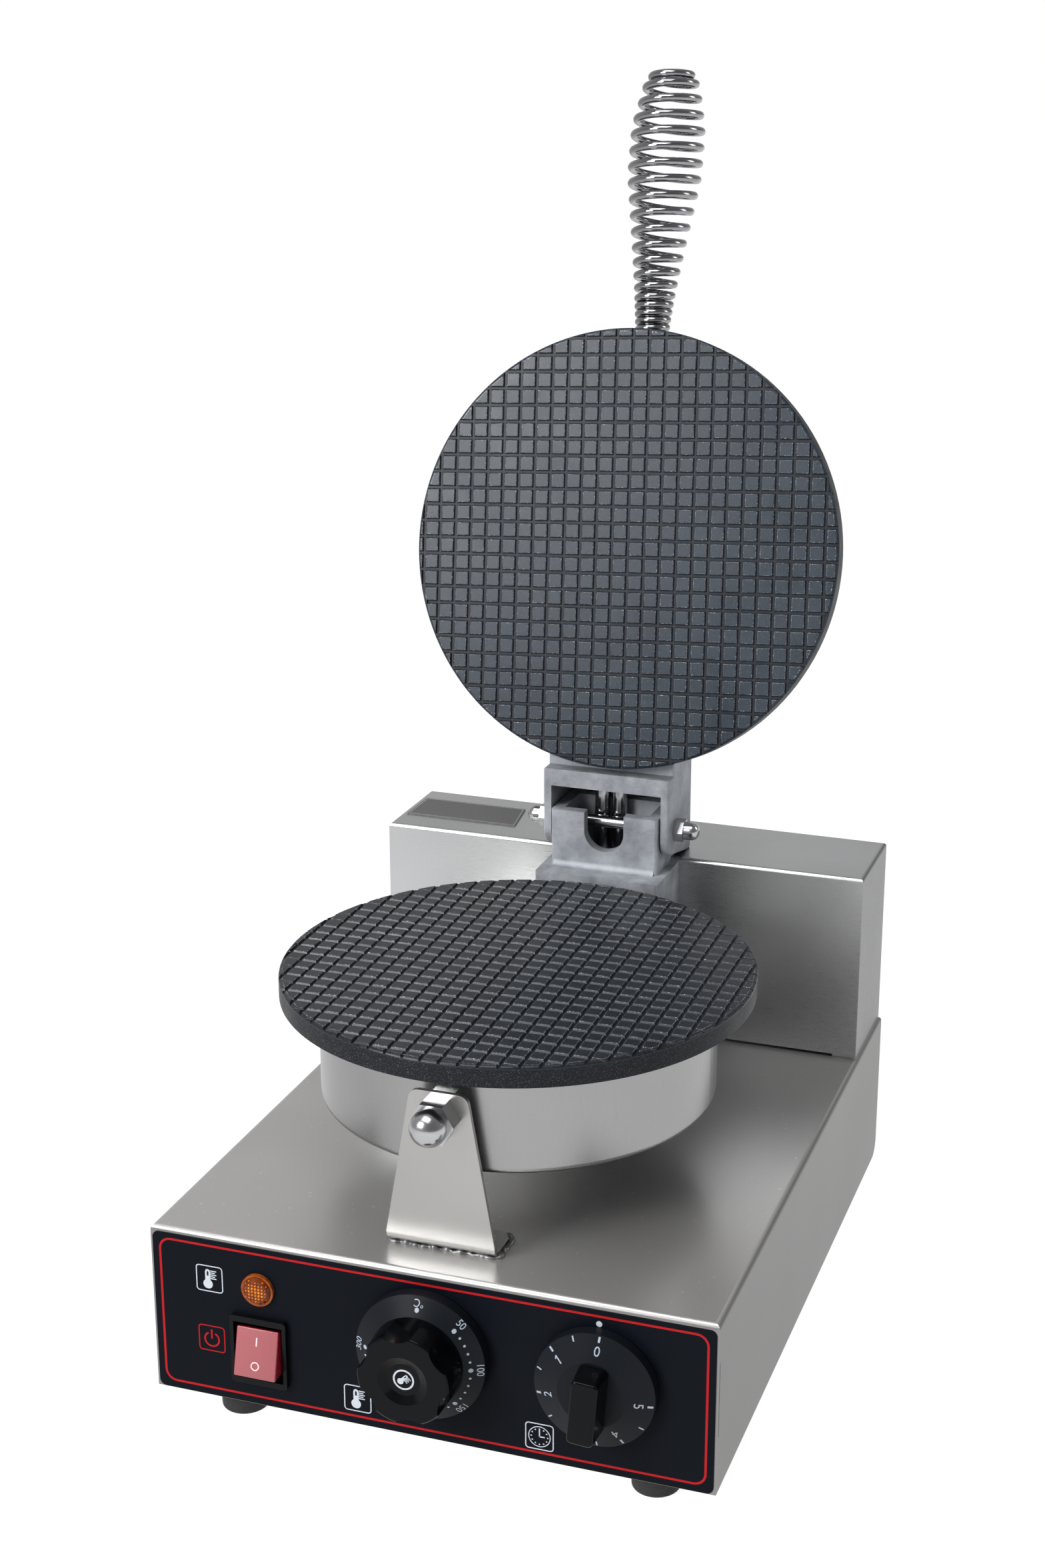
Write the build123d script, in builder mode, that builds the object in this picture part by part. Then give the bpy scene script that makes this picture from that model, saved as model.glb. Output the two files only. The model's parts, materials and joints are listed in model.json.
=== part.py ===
from build123d import *
import os
from math import cos, pi, radians, sin, tan

# Electric krumkake iron: one round hotplate under a hinged lid plate, on a boxed stand.
#
# Frame: X to the right, Y from the front panel to the back, Z up, feet on Z = 0.
# Every size is in millimetres. Heights are taken from the table, depths from the front sheet;
# the finished pieces are moved so that the origin is under the middle of the whole footprint.
# The lid pieces are drawn in the lid's own frame, whose XY plane is level when the lid is shut,
# and that frame is then leaned back about the hinge pin by lid_angle.

# ---- driving dimensions -----------------------------------------------------------------
# stand
base_width = 250.0
base_height = 77.5
foot_height = 15.0
foot_radius = 10.4
foot_flare = 3.0  # degrees that a foot widens towards its top
foot_inset_x = 31.0
foot_inset_y = 20.7
sheet = 1.2
bend_radius = 2.5
rear_roll_radius = 8.0
seam_gap = 0.6
seam_low = 26.0
seam_high = 60.0
flange_side = 12.0
flange_margin = 3.0
bottom_sheet = 0.8
bottom_inset = 3.0
bottom_screw_pitch = 100.0
vent_length = 42.0
vent_width = 4.0
vent_pitch = 22.0
vent_row_pitch = 110.0
vent_columns = 7
vent_rows = 2
foot_recess = 6.0

# rear housing
housing_width = 247.0
housing_depth = 56.0
housing_height = 95.0
housing_back_inset = 0.6
housing_front_gap = 1.7
lip_width = 12.0
lip_screw_pitch = 30.0
deck_shelf = 9.0
housing_bend = 2.0
louvre_pitch = 14.0
louvre_count = 9
louvre_share = 0.6  # how far up the housing the louvres stand
louvre_length = 30.0
louvre_width = 3.0
window_width = 40.0
window_sill = 10.0
lead_room = 3.2

# panel and controls, X from the middle and height above the underside
film_thickness = 0.4
film_side_margin = 1.0
film_top_margin = 2.5
film_corner = 3.0
control_height = 42.0
timer_x = 75.2
switch_x = -75.2
switch_height = 27.0
lamp_height = 56.0
lamp_barrel_radius = 5.6
bush_radius = 5.0
switch_width = 24.6
switch_body_height = 30.0
gland_inset = 33.0
gland_height = 30.0
gland_radius = 8.0

# hotplates
plate_radius = 105.0
plate_thickness = 9.5
plate_edge_radius = 1.6
plate_to_pin = 28.0  # plate edge to the hinge pin
plate_height = 91.4  # cooking face above the deck
spigot_depth = 1.5
spigot_wall = 4.0
spigot_gap = 0.5
pan_inset = 17.0  # pan wall inside the plate's edge
lower_pan_depth = 47.5
upper_pan_depth = 40.0
pan_floor_radius = 3.0
stud_radius = 3.0
stud_nut = 5.0
stud_nut_flats = 10.0
stud_tail = 1.5  # thread that shows past the nut
boss_radius = 9.0
boss_height = 8.0

# waffle grooves, each grid by its turn and its shift from the plate's centre
groove_pitch = 8.0
groove_width = 2.0
groove_floor = 1.1
groove_depth = 1.0
lower_grid_turn = -0.6
lower_grid_x = 3.0
lower_grid_y = -5.47
upper_grid_turn = -3.15
upper_grid_x = 2.28
upper_grid_y = 3.7

# heating
element_radius = 60.0
element_tube = 4.0
element_pin = 2.5
element_gap = 30.0
element_tail = 20.0
reflector_thickness = 1.5
reflector_radius = 72.0
wool_clearance = 0.5
wool_pocket = 18.0
wool_edge = 2.5
bulb_radius = 3.0
bulb_length = 60.0
bulb_offset = -32.0

# hinge and lid
lid_angle = 103.4
shut_gap = 0.8
pin_to_housing = 9.9
pin_above_face = 20.9  # pin axis above the lid plate's face, lid shut
pin_radius = 3.0
pin_clearance = 0.05
foot_block_width = 62.2
foot_block_ahead = 27.2  # of the pin
foot_block_height = 56.0
foot_top_drop = 1.5  # foot block top below the housing top
wall_box_width = 54.0
wall_box_ahead = 15.0  # of the pin
wall_box_behind = 17.5
wall_box_top = 8.7  # front wall top above the pin axis
wall_thickness = 5.5
notch_radius = 10.0
notch_drop = 0.4
casting_radius = 1.5
saddle_width = 48.0
saddle_margin = 7.0
channel_depth = 7.0
hinge_screw_pitch = 51.0
hinge_screw_low = 7.0
hinge_screw_high = 47.0
arm_rake = 103.4  # lid opening at which the arm's front face stands upright
cheek_thickness = 4.0
cheek_gap = 0.8
arm_front = 12.5
arm_rear = 27.0
arm_top = 28.4
arm_window_top = 19.9
arm_rear_wall = 4.5
arm_overcut = 5.0  # how far the window's cut runs below the fork
arm_brow = -2.0
arm_chin_u = -3.0
arm_chin_v = -12.0
arm_arc_u = -9.6
arm_arc_v = -9.3
arm_step = -4.3
arm_channel_front = 2.0
arm_screw_turn = 15.0
arm_screw_height = 29.0
stop_gap = 0.1
hinge_nut = 5.0
hinge_nut_flats = 10.0
hinge_cap = 7.0
hinge_cap_radius = 4.4
hinge_cap_flat = 0.6  # radius left flat at the cap's end
hinge_cap_wall = 2.4
pin_short = 2.5  # how far the pin stops short of the caps' ends
tower_root = 3.0
arm_edge_radius = 1.0

# handle
handle_droop = 2.7  # degrees
handle_height = 19.9  # above the lid plate's face, at the pan
rod_radius = 4.5
rod_length = 33.0
rod_inside = 12.0
rod_nut = 6.0
rod_nut_flats = 16.0
wire_radius = 1.8
spring_start = 5.2
spring_points_per_turn = 12
# the coil's pitch at a number of turns, and the grip's outer radius at a distance along the handle
coil_pitches = [(0, 3.65), (7, 3.65), (8.5, 5.4), (12.5, 7.6), (21.6, 7.4), (22.3, 3.8), (23.4, 3.7)]
grip_profile = [
    (0, 8.5), (20.0, 8.5), (35.0, 10.0), (53.0, 12.4),
    (90.0, 17.9), (113.0, 17.9), (134.4, 13.5), (141.0, 8.5),
]

# front bracket
bracket_front = 17.0
bracket_to_pan = 7.5
bracket_sheet = 2.0
bracket_bend = 6.5
bracket_foot_width = 48.0
bracket_top_width = 25.0
bracket_height = 73.0
bracket_foot_depth = 22.0
bracket_bolt_height = 62.1
bracket_bolt_radius = 5.0
bracket_corner = 4.5
bracket_foot_corner = 6.5
bracket_screw_pitch = 32.0
bracket_screw_inset = 12.0  # behind the bracket's face
bracket_nut_flats = 17.0
bracket_inner_nut = 6.0
bracket_cap_hex = 8.0
bracket_cap_height = 18.0
bracket_dome_radius = 8.0
bracket_dome_flat = 0.4  # radius left flat at the dome's top
bracket_stud_reach = 10.0

# screws and leads
screw_radius = 2.0
screw_head_radius = 3.8
screw_head = 2.2
screw_nut = 3.0
screw_nut_flats = 7.0
screw_reach = 3.0
screw_depth = 9.0
lead_radius = 3.85
lower_lead_pitch = 12.0
lower_lead_inside = 10.5
lower_lead_end = 8.0
lead_pitch = 8.9
lead_offset = -3.5
lead_straight_margin = 8.0
lead_high_y = 12.0
lead_high_drop = 14.0
lead_low_y = 10.2
lead_low_drop = 23.0
lead_end_y = 13.0
lead_end_drop = 36.0
lead_bend_share = 0.45  # how much of the shorter run beside it a bend may take
lead_height = 26.0  # above the lid plate's face
lead_inside = 9.0
lead_behind_pin = 7.8

# controls
thermostat_width = 42.0
thermostat_depth = 25.0
timer_width = 44.0
timer_depth = 36.0
spindle_radius = 3.0
spindle_depth = 12.0
spindle_cover = 4.0
skirt_edge = 6.0
skirt_front = 10.0
knob_edge_radius = 1.0
thermostat_skirt_radius = 28.5
thermostat_grip_radius = 20.0
thermostat_front = 25.0
scallop_radius = 12.0
scallop_depth = 2.6
scallop_turn = 97.0
scallop_count = 6
scallop_stop = 0.3  # how far in front of the skirt the scallops end
dish_radius = 10.8
dish_floor = 7.2
dish_depth = 1.6
timer_skirt_radius = 25.6
timer_hub_radius = 14.5
timer_front = 22.0
timer_bar_length = 30.2
timer_bar_width = 12.9
timer_bar_corner = 3.0
timer_bar_taper = 4.0
timer_bar_turn = 85.5
timer_bar_shift = -1.6
bezel_width = 25.8
bezel_height = 32.0
bezel_corner = 1.5
bezel_thickness = 2.5
switch_depth = 24.0
rocker_width = 21.8
rocker_height = 23.5
rocker_well_height = 26.4
rocker_well_depth = 8.0
rocker_pivot_y = 0.0
rocker_proud = 6.2
rocker_heel = 4.5
rocker_throw = 26.8
rocker_pin_radius = 1.5
rocker_pin_reach = 0.9
rocker_pin_play = 0.1
rocker_edge_radius = 0.6
lamp_rim_radius = 7.3
lamp_rim = 1.5
lamp_recess = 0.9
lamp_lens_radius = 6.2
lamp_lens = 2.2
lamp_depth = 24.0

# wiring parts
terminal_length = 60.0
terminal_width = 22.0
terminal_ways = 5
terminal_wall = 2.0
terminal_border = 6.0
terminal_height = 18.0
terminal_inset = 50.0
terminal_offset = 40.0
gland_inside = 9.0
gland_flange = 5.0
gland_bore = 4.0
gland_chamfer = 1.5

# fits
slide_gap = 0.3
seat_gap = 0.1
pan_sag = 0.8
hole_gap = 0.2
knob_gap = 0.6

# ---- places that follow from the sizes ---------------------------------------------------
pan_radius = plate_radius - pan_inset
spigot_radius = pan_radius - sheet - spigot_gap
plate_y = bracket_front + bracket_to_pan + pan_radius
pin_y = plate_y + plate_radius + plate_to_pin
housing_front = pin_y + pin_to_housing
housing_rear = housing_front + housing_depth
base_depth = housing_rear + housing_back_inset
wall_box_front = pin_y - wall_box_ahead
wall_box_rear = pin_y + wall_box_behind
foot_block_front = pin_y - foot_block_ahead
bracket_screw_y = bracket_front + bracket_screw_inset
lower_lead_start = plate_y + pan_radius - lower_lead_inside
gland_x = gland_inset - base_width / 2
terminal_x = gland_x + terminal_offset
terminal_y = base_depth - terminal_inset
under_z = foot_height
deck_z = under_z + base_height
control_z = under_z + control_height
switch_z = under_z + switch_height
lamp_z = under_z + lamp_height
housing_top = deck_z + housing_height
face_z = deck_z + plate_height
plate_under = face_z - plate_thickness
pan_floor_z = plate_under - lower_pan_depth
pin_z = face_z + shut_gap + pin_above_face
foot_block_top = housing_top - foot_top_drop
foot_block_low = foot_block_top - foot_block_height
bolt_z = deck_z + bracket_bolt_height
lower_lead_z = foot_block_low + window_sill + lead_radius + 0.5
pan_front_y = plate_y - pan_radius


def leaned(angle):
    """The level frame on the hinge pin, leaned back by an angle."""
    return Plane(
        origin=(0, pin_y, pin_z),
        x_dir=(1, 0, 0),
        z_dir=(0, sin(radians(angle)), cos(radians(angle))),
    )


def spun(plane, angle):
    """A plane turned about its own axis."""
    turn = radians(angle)
    x_dir = plane.x_dir * cos(turn) + plane.y_dir * sin(turn)
    return Plane(origin=plane.origin, x_dir=x_dir, z_dir=plane.z_dir)


def stacked(frame, y, z, z_dir):
    """A plane in a leaned frame, at y and z in that frame."""
    side = z_dir.cross(frame.z_dir) if abs(frame.z_dir.dot(z_dir)) < 0.5 else frame.x_dir
    return Plane(origin=frame.from_local_coords((0, y, z)), x_dir=side, z_dir=z_dir)


lid = leaned(lid_angle)
arm = leaned(lid_angle - arm_rake)
arm_side = Plane(origin=arm.origin, x_dir=arm.y_dir, z_dir=(1, 0, 0))
lid_up = Axis(lid.origin, lid.z_dir)
lid_centre = plate_y - pin_y
upper_face = stacked(lid, lid_centre, -pin_above_face, lid.z_dir)
lower_face = Plane(origin=(0, plate_y, face_z), x_dir=(1, 0, 0), z_dir=(0, 0, -1))
upper_seat = upper_face.offset(plate_thickness)
lower_seat = lower_face.offset(plate_thickness)


def turned(angle):
    """A direction in the lid's own plane, away from its hinge side by an angle."""
    return lid.y_dir * cos(radians(angle)) + lid.x_dir * sin(radians(angle))


# ---- stand -------------------------------------------------------------------------------
foot_x = base_width / 2 - foot_inset_x
foot_middle_y = base_depth / 2
foot_pitch_y = base_depth - 2 * foot_inset_y
floor_end = foot_inset_y + foot_radius + flange_margin
bottom_depth = base_depth - bottom_inset - rear_roll_radius - bottom_inset
bottom_y = bottom_inset + bottom_depth / 2
bottom_screw_x = base_width / 2 - flange_side / 2
lip_screw_x = housing_width / 2 - lip_width / 2
lip_screw_y = (housing_front + housing_rear) / 2
gland_z = under_z + gland_height

with BuildPart() as base_shell:
    with BuildSketch(Plane.XY.offset(under_z)):
        with Locations((0, base_depth / 2)):
            Rectangle(base_width, base_depth)
    extrude(amount=base_height)
    fillet(base_shell.faces().sort_by(Axis.Z)[-1].edges(), bend_radius)
    fillet(base_shell.edges().filter_by(Axis.X).group_by(Axis.Z)[0].sort_by(Axis.Y)[-1], rear_roll_radius)
    offset(amount=-sheet, mode=Mode.SUBTRACT)
    with BuildSketch(Plane.XY.offset(under_z)):  # the floor's opening
        with Locations((0, base_depth / 2)):
            Rectangle(base_width - 2 * flange_side, base_depth - 2 * floor_end)
    extrude(amount=sheet, mode=Mode.SUBTRACT)
    with BuildSketch(Plane.YZ):  # the corner seams
        with Locations((sheet + seam_gap / 2, under_z + (seam_low + seam_high) / 2)):
            Rectangle(seam_gap, seam_high - seam_low)
    extrude(amount=base_width, both=True, mode=Mode.SUBTRACT)
    with BuildSketch(Plane.XY.offset(deck_z)):  # the deck's opening under the housing
        with Locations((0, lip_screw_y)):
            Rectangle(housing_width - 2 * lip_width, housing_depth - 2 * deck_shelf)
        with Locations((0, lip_screw_y)):
            with GridLocations(2 * lip_screw_x, lip_screw_pitch, 2, 2):
                Circle(screw_radius + hole_gap)
        with Locations((0, bracket_screw_y)):
            with GridLocations(bracket_screw_pitch, 0, 2, 1):
                Circle(screw_radius + hole_gap)
    extrude(amount=-sheet, mode=Mode.SUBTRACT)
    with BuildSketch(Plane.XY.offset(under_z)):  # the floor's holes
        with Locations((0, foot_middle_y)):
            with GridLocations(2 * foot_x, foot_pitch_y, 2, 2):
                Circle(screw_radius + hole_gap)
        with Locations((0, bottom_y)):
            with GridLocations(2 * bottom_screw_x, bottom_screw_pitch, 2, 3):
                Circle(screw_radius + hole_gap)
    extrude(amount=sheet, mode=Mode.SUBTRACT)
    with BuildSketch(Plane.XZ):  # the front panel's holes
        with Locations((0, control_z), (timer_x, control_z)):
            Circle(bush_radius + hole_gap)
        with Locations((switch_x, lamp_z)):
            Circle(lamp_barrel_radius + hole_gap)
        with Locations((switch_x, switch_z)):
            Rectangle(switch_width + 2 * hole_gap, switch_body_height + 2 * hole_gap)
    extrude(amount=-sheet, mode=Mode.SUBTRACT)
    with BuildSketch(Plane.XZ.offset(-base_depth)):  # the rear hole for the cable gland
        with Locations((gland_x, gland_z)):
            Circle(gland_radius + hole_gap)
    extrude(amount=sheet, mode=Mode.SUBTRACT)

with BuildPart() as bottom_plate:
    with BuildSketch(Plane.XY.offset(under_z)):
        with Locations((0, bottom_y)):
            Rectangle(base_width - 2 * bottom_inset, bottom_depth)
        with Locations((0, foot_middle_y)):
            with GridLocations(2 * foot_x, foot_pitch_y, 2, 2):
                Circle(screw_radius + hole_gap, mode=Mode.SUBTRACT)
        with Locations((0, bottom_y)):
            with GridLocations(2 * bottom_screw_x, bottom_screw_pitch, 2, 3):
                Circle(screw_radius + hole_gap, mode=Mode.SUBTRACT)
            with GridLocations(vent_pitch, vent_row_pitch, vent_columns, vent_rows):
                SlotOverall(vent_length, vent_width, rotation=90, mode=Mode.SUBTRACT)
    extrude(amount=-bottom_sheet)

with BuildPart() as bottom_screws:
    with BuildSketch(Plane.XY.offset(under_z - bottom_sheet)):
        with Locations((0, bottom_y)):
            with GridLocations(2 * bottom_screw_x, bottom_screw_pitch, 2, 3):
                Circle(screw_head_radius)
    extrude(amount=-screw_head)
    with BuildSketch(Plane.XY.offset(under_z - bottom_sheet)):
        with Locations((0, bottom_y)):
            with GridLocations(2 * bottom_screw_x, bottom_screw_pitch, 2, 3):
                Circle(screw_radius)
    extrude(amount=bottom_sheet + sheet + screw_reach)

foot_top = under_z - bottom_sheet
with BuildPart() as feet:
    with BuildSketch():
        with Locations((0, foot_middle_y)):
            with GridLocations(2 * foot_x, foot_pitch_y, 2, 2):
                Circle(foot_radius)
    extrude(amount=foot_top, taper=-foot_flare)
    with BuildSketch():
        with Locations((0, foot_middle_y)):
            with GridLocations(2 * foot_x, foot_pitch_y, 2, 2):
                Circle(screw_radius + hole_gap)
    extrude(amount=foot_top, mode=Mode.SUBTRACT)
    with BuildSketch():
        with Locations((0, foot_middle_y)):
            with GridLocations(2 * foot_x, foot_pitch_y, 2, 2):
                Circle(screw_head_radius + hole_gap)
    extrude(amount=foot_recess, mode=Mode.SUBTRACT)
    fillet(feet.edges().filter_by(GeomType.CIRCLE).group_by(Axis.Z)[0].group_by(SortBy.RADIUS)[-1], 1.0)

with BuildPart() as foot_screws:
    with BuildSketch(Plane.XY.offset(foot_recess)):
        with Locations((0, foot_middle_y)):
            with GridLocations(2 * foot_x, foot_pitch_y, 2, 2):
                Circle(screw_head_radius)
    extrude(amount=-screw_head)
    with BuildSketch(Plane.XY.offset(foot_recess)):
        with Locations((0, foot_middle_y)):
            with GridLocations(2 * foot_x, foot_pitch_y, 2, 2):
                Circle(screw_radius)
    extrude(amount=under_z + sheet + screw_nut + 1 - foot_recess)

with BuildPart() as foot_nuts:
    with BuildSketch(Plane.XY.offset(under_z + sheet)):
        with Locations((0, foot_middle_y)):
            with GridLocations(2 * foot_x, foot_pitch_y, 2, 2):
                RegularPolygon(screw_nut_flats / 2, 6, major_radius=False)
                Circle(screw_radius, mode=Mode.SUBTRACT)
    extrude(amount=screw_nut)

film_height = base_height - film_top_margin - film_thickness
with BuildPart() as control_film:
    with BuildSketch(Plane.XZ):
        with Locations((0, under_z + film_thickness + film_height / 2)):
            RectangleRounded(base_width - 2 * film_side_margin, film_height, film_corner)
        with Locations((0, control_z), (timer_x, control_z)):
            Circle(bush_radius + hole_gap, mode=Mode.SUBTRACT)
        with Locations((switch_x, lamp_z)):
            Circle(lamp_barrel_radius + hole_gap, mode=Mode.SUBTRACT)
        with Locations((switch_x, switch_z)):
            Rectangle(switch_width + 2 * hole_gap, switch_body_height + 2 * hole_gap, mode=Mode.SUBTRACT)
    extrude(amount=film_thickness)

# ---- rear housing ------------------------------------------------------------------------
window_low = foot_block_low + window_sill
window_y = housing_front + lead_room

with BuildPart() as rear_housing:
    with BuildSketch(Plane.XY.offset(deck_z)):
        with Locations((0, lip_screw_y)):
            Rectangle(housing_width, housing_depth)
    extrude(amount=housing_height)
    fillet(rear_housing.faces().sort_by(Axis.Z)[-1].edges(), housing_bend)
    offset(amount=-sheet, mode=Mode.SUBTRACT)
    with BuildSketch(Plane.XY.offset(deck_z)):  # the housing's open floor
        with Locations((0, lip_screw_y)):
            Rectangle(housing_width - 2 * lip_width, housing_depth - 2 * sheet)
        with Locations((0, lip_screw_y)):
            with GridLocations(2 * lip_screw_x, lip_screw_pitch, 2, 2):
                Circle(screw_radius + hole_gap)
    extrude(amount=sheet, mode=Mode.SUBTRACT)
    with BuildSketch(Plane.XZ.offset(-housing_front)):  # the front wall's cuts
        with Locations((0, deck_z + housing_front_gap / 2)):
            Rectangle(housing_width - 2 * sheet, housing_front_gap)
        with Locations((0, foot_block_low + hinge_screw_low), (0, foot_block_low + hinge_screw_high)):
            with GridLocations(hinge_screw_pitch, 0, 2, 1):
                Circle(screw_radius + hole_gap)
    extrude(amount=-sheet, mode=Mode.SUBTRACT)
    with BuildSketch(Plane.XY.offset(housing_top)):  # the window for the leads
        with Locations((0, (housing_front + window_y) / 2)):
            Rectangle(window_width, window_y - housing_front)
    extrude(amount=window_low - housing_top, mode=Mode.SUBTRACT)
    with BuildSketch(Plane.XZ.offset(-housing_rear)):  # the rear louvres
        with Locations((0, deck_z + housing_height * louvre_share)):
            with GridLocations(louvre_pitch, 0, louvre_count, 1):
                SlotOverall(louvre_length, louvre_width, rotation=90)
    extrude(amount=sheet, mode=Mode.SUBTRACT)

with BuildPart() as housing_screws:
    with BuildSketch(Plane.XY.offset(deck_z + sheet)):
        with Locations((0, lip_screw_y)):
            with GridLocations(2 * lip_screw_x, lip_screw_pitch, 2, 2):
                Circle(screw_head_radius)
    extrude(amount=screw_head)
    with BuildSketch(Plane.XY.offset(deck_z + sheet)):
        with Locations((0, lip_screw_y)):
            with GridLocations(2 * lip_screw_x, lip_screw_pitch, 2, 2):
                Circle(screw_radius)
    extrude(amount=-2 * sheet - screw_reach)

# ---- hinge base: one casting on the housing, carrying the lower hotplate's pan -------------
saddle_low = pan_floor_z + saddle_margin
saddle_high = plate_under - saddle_margin / 2
wall_top = pin_z + wall_box_top
wall_box_y = (wall_box_front + wall_box_rear) / 2
wall_box_depth = wall_box_rear - wall_box_front
notch_z = pin_z - notch_drop

with BuildPart() as hinge_base:
    with BuildSketch(Plane.XY.offset(foot_block_low)):
        with Locations((0, (foot_block_front + housing_front) / 2)):
            Rectangle(foot_block_width, housing_front - foot_block_front)
    extrude(amount=foot_block_height)
    fillet(hinge_base.edges().filter_by(Axis.Z).group_by(Axis.Y)[0], casting_radius)
    with BuildSketch(Plane.XY.offset(saddle_low)):
        with Locations((0, (plate_y + foot_block_front) / 2)):
            Rectangle(saddle_width, foot_block_front - plate_y)
    extrude(amount=saddle_high - saddle_low)
    with BuildSketch(Plane.XY.offset(foot_block_low)):
        with Locations((0, plate_y)):
            Circle(pan_radius + seat_gap)
    extrude(amount=foot_block_height, mode=Mode.SUBTRACT)
    with BuildSketch(Plane.XY.offset(foot_block_top)):
        with Locations((0, wall_box_y)):
            RectangleRounded(wall_box_width, wall_box_depth, casting_radius)
    extrude(amount=wall_top - foot_block_top)
    with BuildSketch(Plane.YZ):
        with BuildLine():
            Line((wall_box_front, foot_block_top + tower_root), (wall_box_front, foot_block_top))
            Line((wall_box_front, foot_block_top), (wall_box_front - tower_root, foot_block_top))
            JernArc((wall_box_front - tower_root, foot_block_top), (1, 0), tower_root, 90)
        make_face()
    extrude(amount=wall_box_width / 2 - casting_radius, both=True)
    with BuildSketch(Plane.XY.offset(foot_block_top)):
        with Locations((0, (housing_front + wall_box_rear) / 2)):
            Rectangle(wall_box_width, wall_box_rear - housing_front)
    extrude(amount=foot_top_drop, mode=Mode.SUBTRACT)
    with BuildSketch(Plane.XY.offset(foot_block_top)):
        with Locations((0, wall_box_y)):
            Rectangle(wall_box_width - 2 * wall_thickness, wall_box_depth - 2 * wall_thickness)
    extrude(amount=wall_top - foot_block_top, mode=Mode.SUBTRACT)
    with BuildSketch(Plane.XZ.offset(-wall_box_front)):
        with Locations((0, notch_z)):
            Circle(notch_radius)
        with Locations((0, (notch_z + wall_top) / 2)):
            Rectangle(2 * notch_radius, wall_top - notch_z)
    extrude(amount=-wall_thickness, mode=Mode.SUBTRACT)
    with BuildSketch(Plane.XY.offset(window_low)):
        with Locations((0, housing_front - channel_depth / 2)):
            Rectangle(window_width, channel_depth)
    extrude(amount=foot_block_top - window_low, mode=Mode.SUBTRACT)
    with BuildSketch(Plane.XZ.offset(-plate_y)):
        with Locations((0, lower_lead_z)):
            with GridLocations(lower_lead_pitch, 0, 2, 1):
                Circle(lead_radius + slide_gap)
    extrude(amount=plate_y - housing_front, mode=Mode.SUBTRACT)
    with BuildSketch(Plane.YZ):
        with Locations((pin_y, pin_z)):
            Circle(pin_radius + pin_clearance)
    extrude(amount=wall_box_width, both=True, mode=Mode.SUBTRACT)
    with BuildSketch(Plane.XZ.offset(-housing_front)):
        with Locations((0, foot_block_low + hinge_screw_low), (0, foot_block_low + hinge_screw_high)):
            with GridLocations(hinge_screw_pitch, 0, 2, 1):
                Circle(screw_radius)
    extrude(amount=screw_depth, mode=Mode.SUBTRACT)

with BuildPart() as hinge_base_screws:
    with BuildSketch(Plane.XZ.offset(-housing_front - sheet)):
        with Locations((0, foot_block_low + hinge_screw_low), (0, foot_block_low + hinge_screw_high)):
            with GridLocations(hinge_screw_pitch, 0, 2, 1):
                Circle(screw_head_radius)
    extrude(amount=-screw_head)
    with BuildSketch(Plane.XZ.offset(-housing_front - sheet)):
        with Locations((0, foot_block_low + hinge_screw_low), (0, foot_block_low + hinge_screw_high)):
            with GridLocations(hinge_screw_pitch, 0, 2, 1):
                Circle(screw_radius)
    extrude(amount=sheet + screw_depth - 1)

# ---- front bracket -----------------------------------------------------------------------
bracket_back = bracket_front + bracket_sheet
bracket_rear = bracket_front + bracket_foot_depth

with BuildPart() as front_bracket:
    with BuildSketch(Plane.XZ.offset(-bracket_front)):
        with BuildLine():
            Polyline(
                (-bracket_foot_width / 2, deck_z),
                (-bracket_foot_width / 2, deck_z + bracket_bend),
                (-bracket_top_width / 2, deck_z + bracket_height),
                (bracket_top_width / 2, deck_z + bracket_height),
                (bracket_foot_width / 2, deck_z + bracket_bend),
                (bracket_foot_width / 2, deck_z),
                close=True,
            )
        make_face()
    extrude(amount=-bracket_sheet)
    fillet(front_bracket.edges().filter_by(Axis.Y).group_by(Axis.Z)[-1], bracket_corner)
    with BuildSketch(Plane.XY.offset(deck_z)) as bracket_foot:
        with Locations((0, (bracket_front + bracket_rear) / 2)):
            Rectangle(bracket_foot_width, bracket_foot_depth)
        fillet(bracket_foot.vertices().group_by(Axis.Y)[-1], bracket_foot_corner)
        with Locations((0, bracket_screw_y)):
            with GridLocations(bracket_screw_pitch, 0, 2, 1):
                Circle(screw_radius + hole_gap, mode=Mode.SUBTRACT)
    extrude(amount=bracket_sheet)
    fillet(front_bracket.edges().filter_by(Axis.X).group_by(Axis.Z)[0].sort_by(Axis.Y)[0], bracket_bend)
    inner_bend = (0, bracket_back, deck_z + bracket_sheet)
    inner_edge = front_bracket.edges().filter_by(Axis.X).sort_by_distance(inner_bend)[0]
    fillet(inner_edge, bracket_bend - bracket_sheet)
    with BuildSketch(Plane.XZ.offset(-bracket_front)):
        with Locations((0, bolt_z)):
            Circle(bracket_bolt_radius + hole_gap)
    extrude(amount=-bracket_sheet, mode=Mode.SUBTRACT)

with BuildPart() as bracket_screws:
    with BuildSketch(Plane.XY.offset(deck_z + bracket_sheet)):
        with Locations((0, bracket_screw_y)):
            with GridLocations(bracket_screw_pitch, 0, 2, 1):
                Circle(screw_head_radius)
    extrude(amount=screw_head)
    with BuildSketch(Plane.XY.offset(deck_z + bracket_sheet)):
        with Locations((0, bracket_screw_y)):
            with GridLocations(bracket_screw_pitch, 0, 2, 1):
                Circle(screw_radius)
    extrude(amount=-bracket_sheet - sheet - screw_reach)

stud_back = pan_front_y + sheet + bracket_inner_nut + 2
with BuildPart() as bracket_stud:
    with BuildSketch(Plane.XZ.offset(-stud_back)):
        with Locations((0, bolt_z)):
            Circle(bracket_bolt_radius)
    extrude(amount=stud_back - bracket_front + bracket_stud_reach)

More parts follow.
